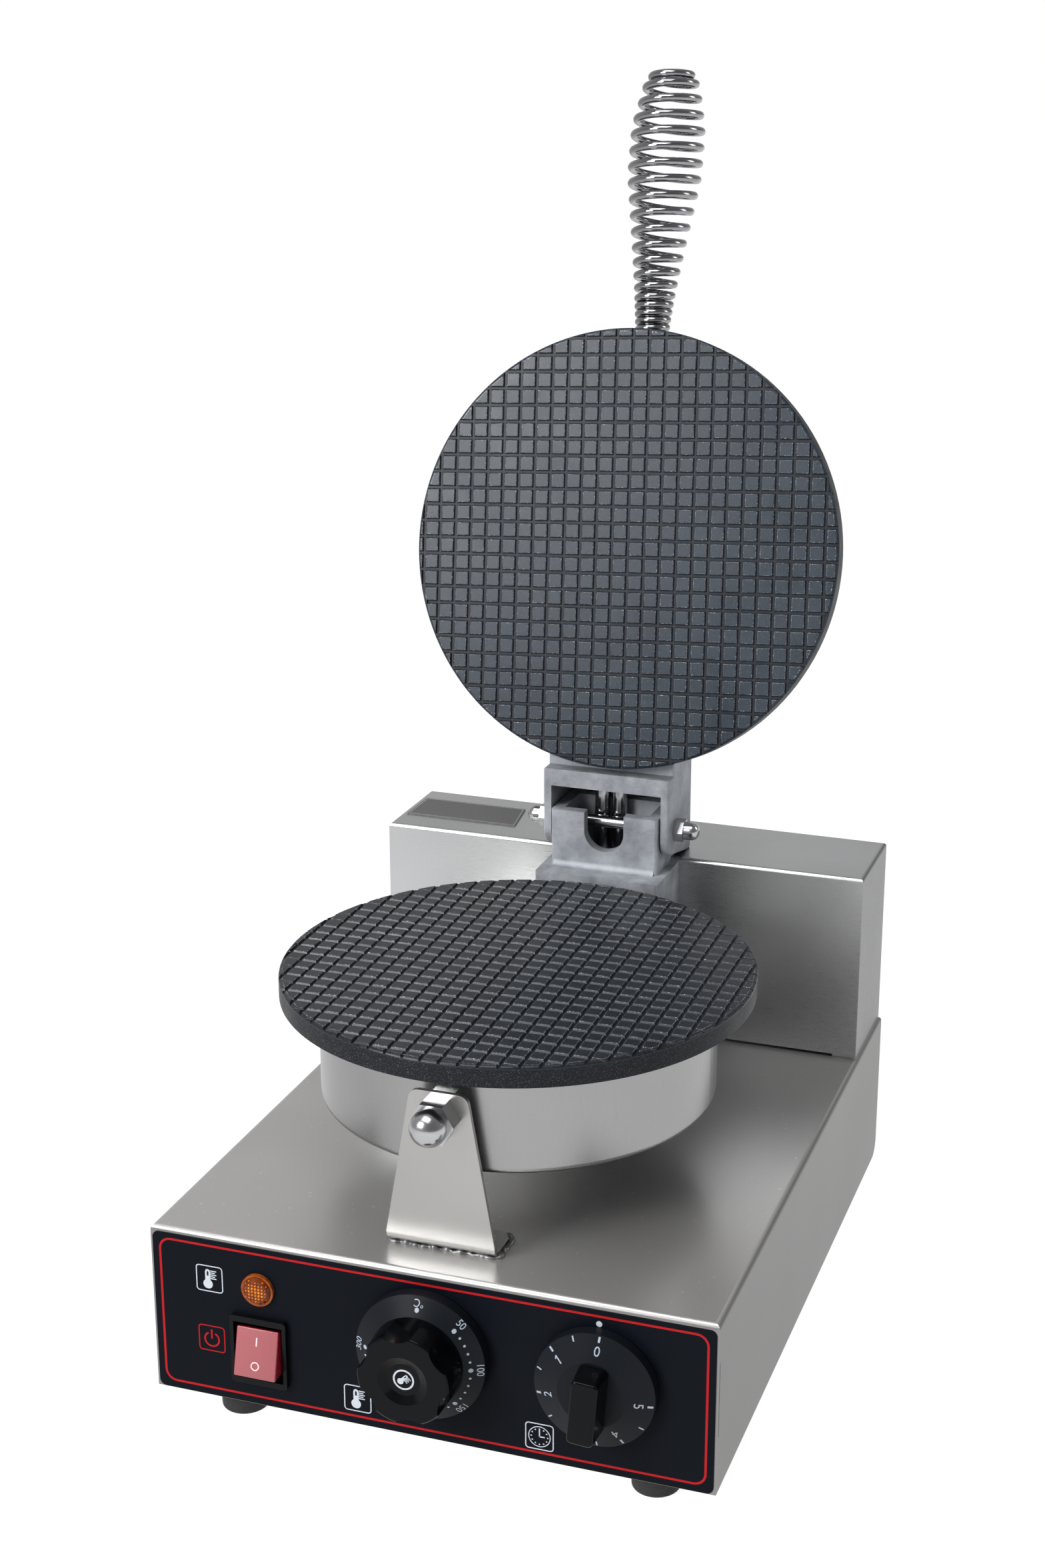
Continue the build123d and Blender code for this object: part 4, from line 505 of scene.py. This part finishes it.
marks = Bag()
THERMOSTAT_CONE = (0.0, 28.5, 20.5)         # the dial's x, the cone's outer and inner radius
first_degrees, first_angle, degree_angle, dot_radius = 50, 44, 0.92, 23.3
for degrees in range(0, 301, 10):
    if degrees and degrees < first_degrees:
        continue
    angle = 90 - (first_angle + (degrees - first_degrees) * degree_angle) if degrees else 90
    big = degrees % 50 == 0
    a = math.radians(angle)
    dot = circle(dot_radius * math.cos(a), dot_radius * math.sin(a), 0.95 if big else 0.5, 14)
    v, f = filled([dot], INK)
    marks.add(on_cone(v, *THERMOSTAT_CONE), f)
    if big and degrees:
        v, f = dial_text(str(degrees), 26.7, angle, 4.0)
        marks.add(on_cone(v, *THERMOSTAT_CONE), f)
v, f = dial_text("°C", 26.0, 89, 4.1, inward=True)
marks.add(on_cone(v, *THERMOSTAT_CONE), f)
marks.make("thermostat_marks", DIAL_PRINT, "thermostat_dial", "black_plastic")

marks = Bag()
TIMER_CONE = (COLUMN, 25.6, 14.5)
tick_start, tick_end, zero_angle, half_minute = 22.8, 25.0, 85, 26.9
for half in range(11):
    angle = zero_angle + half_minute * half
    across, up_dial = math.cos(math.radians(angle)), math.sin(math.radians(angle))
    whole = half % 2 == 0
    v, f = filled([bar(tick_start * across, tick_start * up_dial, tick_end * across, tick_end * up_dial,
                       0.9 if whole else 0.6)], INK)
    marks.add(on_cone(v, *TIMER_CONE), f)
    if whole:
        v, f = dial_text(str(half // 2), 19.2, angle, 5.4, loops=[ONE] if half == 2 else None)
        marks.add(on_cone(v, *TIMER_CONE), f)
marks.make("timer_marks", DIAL_PRINT, "timer_dial", "black_plastic")

# the ring and thermometer in the thermostat knob's dish
marks = Bag()
DISH_REACH = 23.43


def add_to_dish(loops, layer=0):
    verts, faces = filled(loops, INK + INK_STEP * layer)
    marks.add([(v.x * MM, FRONT - (DISH_REACH + v.z) * MM, AXIS_Z + v.y * MM) for v in verts], faces)


add_to_dish([circle(0, 0, 4.6, 40), circle(0, 0, 3.85, 40)])
for i, loops in enumerate(thermometer(0.1, -0.1, -45, 0.62)):
    add_to_dish(loops, i)
marks.make("thermostat_symbol", WHITE_PRINT, "thermostat_dial", "black_plastic")

# ------------------------------------------------ rocker face and its I and O
TILT = math.radians(13.4)
ROCK = Vector((-COLUMN, 0.0, 42.0))
ROCKER_SHIFT, ROCKER_FACE, MARK_LIFT = 0.5, -6.2, 0.10
ROCKER_WIDTH, ROCKER_HEIGHT, ROCKER_BACK, ROCKER_TAPER = 19.4, 21.9, 4.3, 3


def tilted(x, y, z):
    """Rocker millimetres (x across, y in from the pivot, z up its face) to the frame."""
    yy = y * math.cos(TILT) + z * math.sin(TILT)
    zz = -y * math.sin(TILT) + z * math.cos(TILT)
    return (ROCK.x + x) * MM, FRONT + (ROCK.y + yy) * MM, (ROCK.z + zz) * MM


marks = Bag()
for loops in ([bar(ROCKER_SHIFT, 3.2, ROCKER_SHIFT, 7.0, 0.65)],
              [circle(ROCKER_SHIFT, -5.4, 1.95, 32), circle(ROCKER_SHIFT, -5.4, 1.4, 32)]):
    v, f = filled(loops, INK)
    marks.add([tilted(p.x, ROCKER_FACE - MARK_LIFT - p.z, p.y) for p in v], f)
marks.make("rocker_marks", ROCKER_PRINT, "power_rocker", "red_plastic")
bm = bmesh.new()
profile = [(ROCKER_FACE, -ROCKER_HEIGHT / 2), (ROCKER_FACE, ROCKER_HEIGHT / 2),
           (ROCKER_BACK, ROCKER_HEIGHT / 2 - ROCKER_TAPER), (ROCKER_BACK, ROCKER_TAPER - ROCKER_HEIGHT / 2)]
rings = [[bm.verts.new(tilted(x, y, z)) for y, z in profile]
         for x in (ROCKER_SHIFT - ROCKER_WIDTH / 2, ROCKER_SHIFT + ROCKER_WIDTH / 2)]
bm.faces.new((rings[0][0], rings[0][1], rings[1][1], rings[1][0]))
for k in (1, 2, 3):
    bm.faces.new((rings[0][k], rings[0][(k + 1) % 4], rings[1][(k + 1) % 4], rings[1][k]))
bm.faces.new(rings[0][::-1])
bm.faces.new(rings[1])
bmesh.ops.recalc_face_normals(bm, faces=bm.faces)
bmesh.ops.bevel(bm, geom=list(bm.edges), offset=0.0007, segments=3, profile=0.5, affect="EDGES")
bm.normal_update()
out = Vector((0, -math.cos(TILT), math.sin(TILT)))
for f in bm.faces:
    f.smooth = True
    f.material_index = 1 if f.normal.dot(out) > 0.9 else 0
mesh = bpy.data.meshes.new("rocker")
bm.to_mesh(mesh)
bm.free()
mesh.set_sharp_from_angle(angle=math.radians(40))
mesh.materials.append(RED)
mesh.materials.append(PINK)
rocker = bpy.data.objects.new("rocker", mesh)
scene.collection.objects.link(rocker)
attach(rocker, "power_rocker")
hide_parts("switch_rocker")

# ------------------------------------------------ faceted lamp lens
LAMP = Vector((-COLUMN, 0, 71.0))
amber, t, b = new_mat("amber_lens", (0.80, 0.28, 0.03), 0.10, 0.0,
                      Emission_Strength=0.10, Specular_IOR_Level=0.3)
b.inputs["Emission Color"].default_value = (1.0, 0.35, 0.04, 1)
b.inputs["Coat Weight"].default_value = 0.3
low = noise_node(t, 300, detail=2, rough=0.5)
t.links.new(ramp(t, low, 0.35, 0.65, (0.34, 0.085, 0.004), (0.66, 0.22, 0.016)), b.inputs["Base Color"])
DEEP = plain("amber_deep", (0.13, 0.022, 0.002), 0.15, scale=300, strength=0.05, spread=0.4,
             Specular_IOR_Level=0.2)
lens_radius, lens_edge, lens_crown = 6.15, 1.8, 1.3
cell, gem_foot, gem_top = 1.5, 0.64, 0.3    # spacing of the gems, half their widths below and above
gem_sunk, gem_height, gem_margin = -0.2, 0.55, 0.65


def dome(r):
    """How far the lens stands out of the film at a distance from its middle."""
    return lens_edge + lens_crown * max(0.0, 1 - (r / lens_radius) ** 2) ** 0.5


def on_lens(x, z, lift=0.0):
    return ((LAMP.x + x) * MM, FRONT - (dome(math.hypot(x, z)) + lift) * MM, (LAMP.z + z) * MM)


lens = Bag()
rings, around = 8, 40
verts = [on_lens(0, 0)]
for i in range(1, rings + 1):
    for k in range(around):
        a = 2 * math.pi * k / around
        r = lens_radius * i / rings
        verts.append(on_lens(r * math.cos(a), r * math.sin(a)))
faces = [(0, 1 + k, 1 + (k + 1) % around) for k in range(around)]
for i in range(rings - 1):
    for k in range(around):
        a, b2 = 1 + i * around + k, 1 + i * around + (k + 1) % around
        faces.append((a, a + around, b2 + around, b2))
lens.add(verts, faces, smooth=True)
lens.make("lamp_lens", DEEP, "stand", "amber_lens")
gems = Bag()
for i in range(-4, 5):
    for k in range(-4, 5):
        x, z = i * cell, k * cell
        if math.hypot(x, z) > lens_radius - gem_margin:
            continue
        corners = ((-1, -1), (1, -1), (1, 1), (-1, 1))
        base = [on_lens(x + dx * gem_foot, z + dz * gem_foot, gem_sunk) for dx, dz in corners]
        crown = [on_lens(x + dx * gem_top, z + dz * gem_top, gem_height) for dx, dz in corners]
        sides = [(k, (k + 1) % 4, 4 + (k + 1) % 4, 4 + k) for k in range(4)]
        gems.add(base + crown, [(4, 5, 6, 7)] + sides)
gems.make("lamp_facets", amber, "stand", "amber_lens")
RIM = plain("lamp_rim", (0.24, 0.050, 0.005), 0.16, scale=500, strength=0.05, spread=0.4,
            Specular_IOR_Level=0.2)
nodes["indicator_lens"].material_slots[0].material = DEEP
for slot in nodes["indicator_body"].material_slots:
    slot.material = RIM

# ------------------------------------------------ bare badge plate on the housing's top
top_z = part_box("rear_housing")[1].z
corners = [(-120, 271), (-60.8, 271), (-64.5, 297), (-119.8, 297)]
middle = Vector((sum(x for x, y in corners) / 4, sum(y for x, y in corners) / 4))


def shrunk(distance):
    """The badge's outline, drawn in towards its middle."""
    return [(x - math.copysign(distance, x - middle.x), y - math.copysign(distance, y - middle.y))
            for x, y in corners]


def on_housing(name, material, loops, thick, lift):
    """Lay a thin shape on the housing's top, its middle plane lifted in mm."""
    bag = Bag()
    v, f = filled(loops, thick)
    bag.add([(p.x * MM, FRONT + p.y * MM, top_z + (p.z + lift) * MM) for p in v], f)
    bag.make(name, material, "stand", "black_plastic")


on_housing("badge_plate", BADGE, [corners], 0.5, 0.26)
on_housing("badge_border", BADGE_EDGE, [shrunk(0.7), shrunk(1.1)], INK, 0.53)


# ------------------------------------------------ tubes
def tube(points, radii, sides):
    """A round tube along points, closed at both ends, with its frames carried along."""
    verts, faces = [], []
    last = len(points) - 1
    tangents = [(points[min(i + 1, last)] - points[max(i - 1, 0)]).normalized() for i in range(last + 1)]
    normal = tangents[0].orthogonal().normalized()
    for i, (p, t) in enumerate(zip(points, tangents)):
        normal = (normal - t * normal.dot(t)).normalized()
        side = t.cross(normal)
        for k in range(sides):
            a = 2 * math.pi * k / sides
            verts.append(p + (normal * math.cos(a) + side * math.sin(a)) * radii[i])
    for i in range(last):
        for k in range(sides):
            a, b2 = i * sides + k, i * sides + (k + 1) % sides
            faces.append((a, b2, b2 + sides, a + sides))
    faces.append(tuple(range(sides - 1, -1, -1)))
    faces.append(tuple(range(len(verts) - sides, len(verts))))
    return verts, faces


lid_y = Vector((0, math.cos(LID_OPEN), -math.sin(LID_OPEN)))
lid_z = Vector((0, math.sin(LID_OPEN), math.cos(LID_OPEN)))
DROOP = math.radians(2.7)
grip_dir = lid_y * -math.cos(DROOP) - lid_z * math.sin(DROOP)
grip_side = Vector((1, 0, 0))
grip_up = grip_dir.cross(grip_side)
grip_origin = PIN + lid_y * (-221.0 * MM) + lid_z * (-1.0 * MM)
# in mm: the coil's outer radius at distances along the handle, and its pitch after so many turns
GRIP = [(0, 8.5), (20.0, 8.5), (35.0, 10.0), (53.0, 12.4),
        (90.0, 17.9), (113.0, 17.9), (134.4, 13.5), (141.0, 8.5)]
PITCH = [(0, 3.65), (7, 3.65), (8.5, 5.4), (12.5, 7.6), (21.6, 7.4), (22.3, 3.8), (23.4, 3.7)]
WIRE_RADIUS, COIL_START, TURN_POINTS = 1.95, 5.0, 32


def smooth_radius(reach):
    for (s0, r0), (s1, r1) in zip(GRIP, GRIP[1:]):
        if reach <= s1:
            return r0 + (r1 - r0) * max(0.0, reach - s0) / (s1 - s0)
    return GRIP[-1][1]


def coil_radius(reach):
    return sum(smooth_radius(reach + d) for d in (-3, -1.5, 0, 1.5, 3)) / 5


def coil_reach(turns):
    """Distance along the handle that the wire has climbed."""
    reach = COIL_START
    for (low, low_pitch), (high, high_pitch) in zip(PITCH, PITCH[1:]):
        part = min(turns, high) - low
        if part <= 0:
            break
        reach += part * (low_pitch + (high_pitch - low_pitch) * part / (high - low) / 2)
    return reach


def lean(reach):
    """The loose end of a heavy spring sags a little to one side."""
    return 1.65 * (max(0.0, reach - 30) / 104) ** 1.2


turn_count = PITCH[-1][0]
points, count = [], int(turn_count * TURN_POINTS)
for i in range(count + 1):
    turns = turn_count * i / count
    reach = coil_reach(turns)
    r = coil_radius(reach) - WIRE_RADIUS
    a = 2 * math.pi * turns
    across = r * math.cos(a) + lean(reach)
    points.append(grip_origin + (grip_side * across + grip_up * (r * math.sin(a)) + grip_dir * reach) * MM)
coil = Bag()
coil.add(*tube(points, [WIRE_RADIUS * MM] * len(points), 14), smooth=True)
coil.make("coil_grip", WIRE, "lid", "chrome", ["handle_spring"])


# ------------------------------------------------ plates with the soft edges of coated castings
SAME_HEIGHT, SHORT_EDGE, PAD_ROUNDING, GROOVE_DEPTH = 2e-5, 0.001, 0.0002, 0.0003
PATTERN_RADIUS, RIM_AREA = 0.100, 2e-6      # upright faces further out, and no smaller, are the rim


def dressed_plate(node, body, up, top_mat):
    """A copy of a plate with each pad's edge rounded and painted lighter as a highlight, its rim in a
    duller coat and its groove floors painted darker as shade.
    """
    bm = bmesh.new()
    bm.from_mesh(nodes[node].data)
    bmesh.ops.remove_doubles(bm, verts=bm.verts, dist=1e-6)
    bmesh.ops.dissolve_limit(bm, angle_limit=math.radians(0.4), verts=bm.verts, edges=bm.edges)
    top = max(v.co.dot(up) for v in bm.verts)
    pads = {f for f in bm.faces
            if f.normal.dot(up) > 0.999 and abs(f.calc_center_median().dot(up) - top) < SAME_HEIGHT}
    edges = [e for e in bm.edges if len(e.link_faces) == 2 and e.calc_length() > SHORT_EDGE
             and (e.link_faces[0] in pads) != (e.link_faces[1] in pads)]
    made = bmesh.ops.bevel(bm, geom=edges, offset=PAD_ROUNDING, segments=2, profile=0.5,
                           affect="EDGES", clamp_overlap=False)
    bm.normal_update()
    soft = set(made["faces"])
    for f in bm.faces:
        flat = f.normal.dot(up) > 0.999
        f.smooth = not flat
        # the rounded edges take the painted highlight
        if f in soft:
            f.material_index = 1
        elif abs(f.normal.dot(up)) < 0.75 and f.calc_area() > RIM_AREA:
            f.material_index = 2
        # flat faces below the pads are the groove floors, which take the painted shade
        elif flat and f.calc_center_median().dot(up) < top - GROOVE_DEPTH:
            f.material_index = 3
    centre = sum((v.co for v in bm.verts), Vector()) / len(bm.verts)
    for f in bm.faces:
        away = f.calc_center_median() - centre
        away -= up * away.dot(up)
        if f.material_index == 2 and away.length < PATTERN_RADIUS:
            f.material_index = 0
    for e in bm.edges:
        turned = len(e.link_faces) != 2 or e.calc_face_angle(0) > math.radians(32)
        e.smooth = not (turned or not all(f.smooth for f in e.link_faces))
    mesh = bpy.data.meshes.new(node + "_cast")
    bm.to_mesh(mesh)
    bm.free()
    if "custom_normal" in mesh.attributes:
        mesh.attributes.remove(mesh.attributes["custom_normal"])
    for material in (top_mat, EDGE_HIGHLIGHT, RIM_COAT, GROOVE_SHADE):
        mesh.materials.append(material)
    obj = bpy.data.objects.new(node + "_cast", mesh)
    scene.collection.objects.link(obj)
    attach(obj, body)
    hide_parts(node)


dressed_plate("lower_plate", "stand", Vector((0, 0, 1)), COAT)
dressed_plate("upper_plate", "lid", Vector((0, -math.sin(LID_OPEN), -math.cos(LID_OPEN))), LID_COAT)

# ------------------------------------------------ sealant round the bracket's foot
bead = []
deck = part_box("base_shell")[1].z / MM
walk = [(-24.6, 27.0), (-24.8, 21.0), (-22.5, 19.6), (22.5, 19.6),
        (25.0, 21.0), (25.4, 30.0), (24.6, 38.5), (20.0, 39.8)]
BEAD_STEP, BEAD_LIFT, BEAD_RADIUS = 0.7, 0.25, 0.95
for (x0, y0), (x1, y1) in zip(walk, walk[1:]):
    steps = max(2, int(math.hypot(x1 - x0, y1 - y0) / BEAD_STEP))
    for k in range(steps):
        bead.append((x0 + (x1 - x0) * k / steps, y0 + (y1 - y0) * k / steps))
path, radii = [], []
for i, (x, y) in enumerate(bead):
    wob = noise.noise(Vector((i * 0.31, 0.7, 0.0)))
    fat = noise.noise(Vector((i * 0.23, 5.1, 2.0)))
    path.append(Vector(((x + 0.5 * wob) * MM, FRONT + (y + 0.9 * wob) * MM,
                        (deck + BEAD_LIFT + 0.4 * fat) * MM)))
    radii.append((BEAD_RADIUS + 0.8 * fat) * MM)
sealant = Bag()
sealant.add(*tube(path, radii, 9), smooth=True)
sealant.make("bracket_sealant", SEALANT, "stand", "film")

# ------------------------------------------------ sleeved leads from the housing up into the lid
ROUTE = [(275.5, 296.0), (262.98, 256.96), (257.5, 234.2), (253.3, 213.6),
         (253.3, 179.5), (255.7, 164.5), (258.5, 151.5)]


def spline(points, step):
    """Points along a Catmull-Rom curve."""
    result = []
    ends = [points[0] * 2 - points[1]] + points + [points[-1] * 2 - points[-2]]
    for p0, p1, p2, p3 in zip(ends, ends[1:], ends[2:], ends[3:]):
        for k in range(step):
            t = k / step
            result.append(0.5 * (2 * p1 + (p2 - p0) * t + (2 * p0 - 5 * p1 + 4 * p2 - p3) * t * t
                                 + (3 * p1 - p0 - 3 * p2 + p3) * t * t * t))
    return result + [points[-1]]


leads = Bag()
SLEEVE_RADIUS = 3.85
for x in (-7.95, 0.95):
    path = spline([Vector((x * MM, FRONT + y * MM, z * MM)) for y, z in ROUTE], 8)
    leads.add(*tube(path, [SLEEVE_RADIUS * MM] * len(path), 20), smooth=True)
sleeves = leads.build("lead_sleeves", SLEEVE)
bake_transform(sleeves)
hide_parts("heater_leads")


# ------------------------------------------------ floor, light, world
def for_camera(tree, source, shown, socket):
    """One strength where the camera looks, another for all other light."""
    path = tree.nodes.new("ShaderNodeLightPath")
    choice = tree.nodes.new("ShaderNodeMix")
    choice.data_type = "FLOAT"
    tree.links.new(path.outputs["Is Camera Ray"], choice.inputs["Factor"])
    tree.links.new(source, choice.inputs["A"])
    choice.inputs["B"].default_value = shown
    tree.links.new(choice.outputs["Result"], socket)


floor = bpy.data.meshes.new("floor")
floor.from_pydata([(-12, -12, 0), (12, -12, 0), (12, 14, 0), (-12, 14, 0)], [], [(0, 1, 2, 3)])
floor_obj = bpy.data.objects.new("floor", floor)
scene.collection.objects.link(floor_obj)
floor_mat, t, b = new_mat("floor", (0.22, 0.22, 0.22), 0.9, Emission_Color=(1, 1, 1, 1))
floor_x = along(t, t.nodes.new("ShaderNodeTexCoord").outputs["Object"], "X")
for_camera(t, span(t, floor_x, 0.42, 0.90, -0.9, 0.2), 0.90, b.inputs["Emission Strength"])
floor.materials.append(floor_mat)

# white where the camera sees it, darker in front and brighter behind where the metal mirrors it
world = bpy.data.worlds.new("world")
world.use_nodes = True
scene.world = world
t = world.node_tree
background = t.nodes["Background"]
sky = t.nodes.new("ShaderNodeTexCoord").outputs["Generated"]
by_depth = span(t, along(t, sky, "Y"), 0.34, 0.60, -0.4, 0.9)
by_side = span(t, along(t, sky, "X"), 1.15, 0.64, -0.75, 0.45)
for_camera(t, maths(t, "MULTIPLY", by_depth, by_side), 1.0, background.inputs["Strength"])
background.inputs["Color"].default_value = (1.0, 1.0, 1.0, 1)


def area(name, where, target, size, power):
    data = bpy.data.lights.new(name, "AREA")
    data.shape = "RECTANGLE"
    data.size, data.size_y = size
    data.energy = power
    obj = bpy.data.objects.new(name, data)
    obj.location = where
    obj.rotation_euler = (Vector(target) - Vector(where)).to_track_quat("-Z", "Y").to_euler()
    scene.collection.objects.link(obj)


area("key", (-1.05, -1.6, 1.15), (0, 0.1, 0.3), (0.8, 0.8), 44)
area("top", (-0.2, -0.65, 1.8), (0, 0, 0.1), (1.2, 0.8), 18)
area("side", (1.4, 0.6, 1.0), (0, 0, 0.2), (0.5, 0.8), 4)
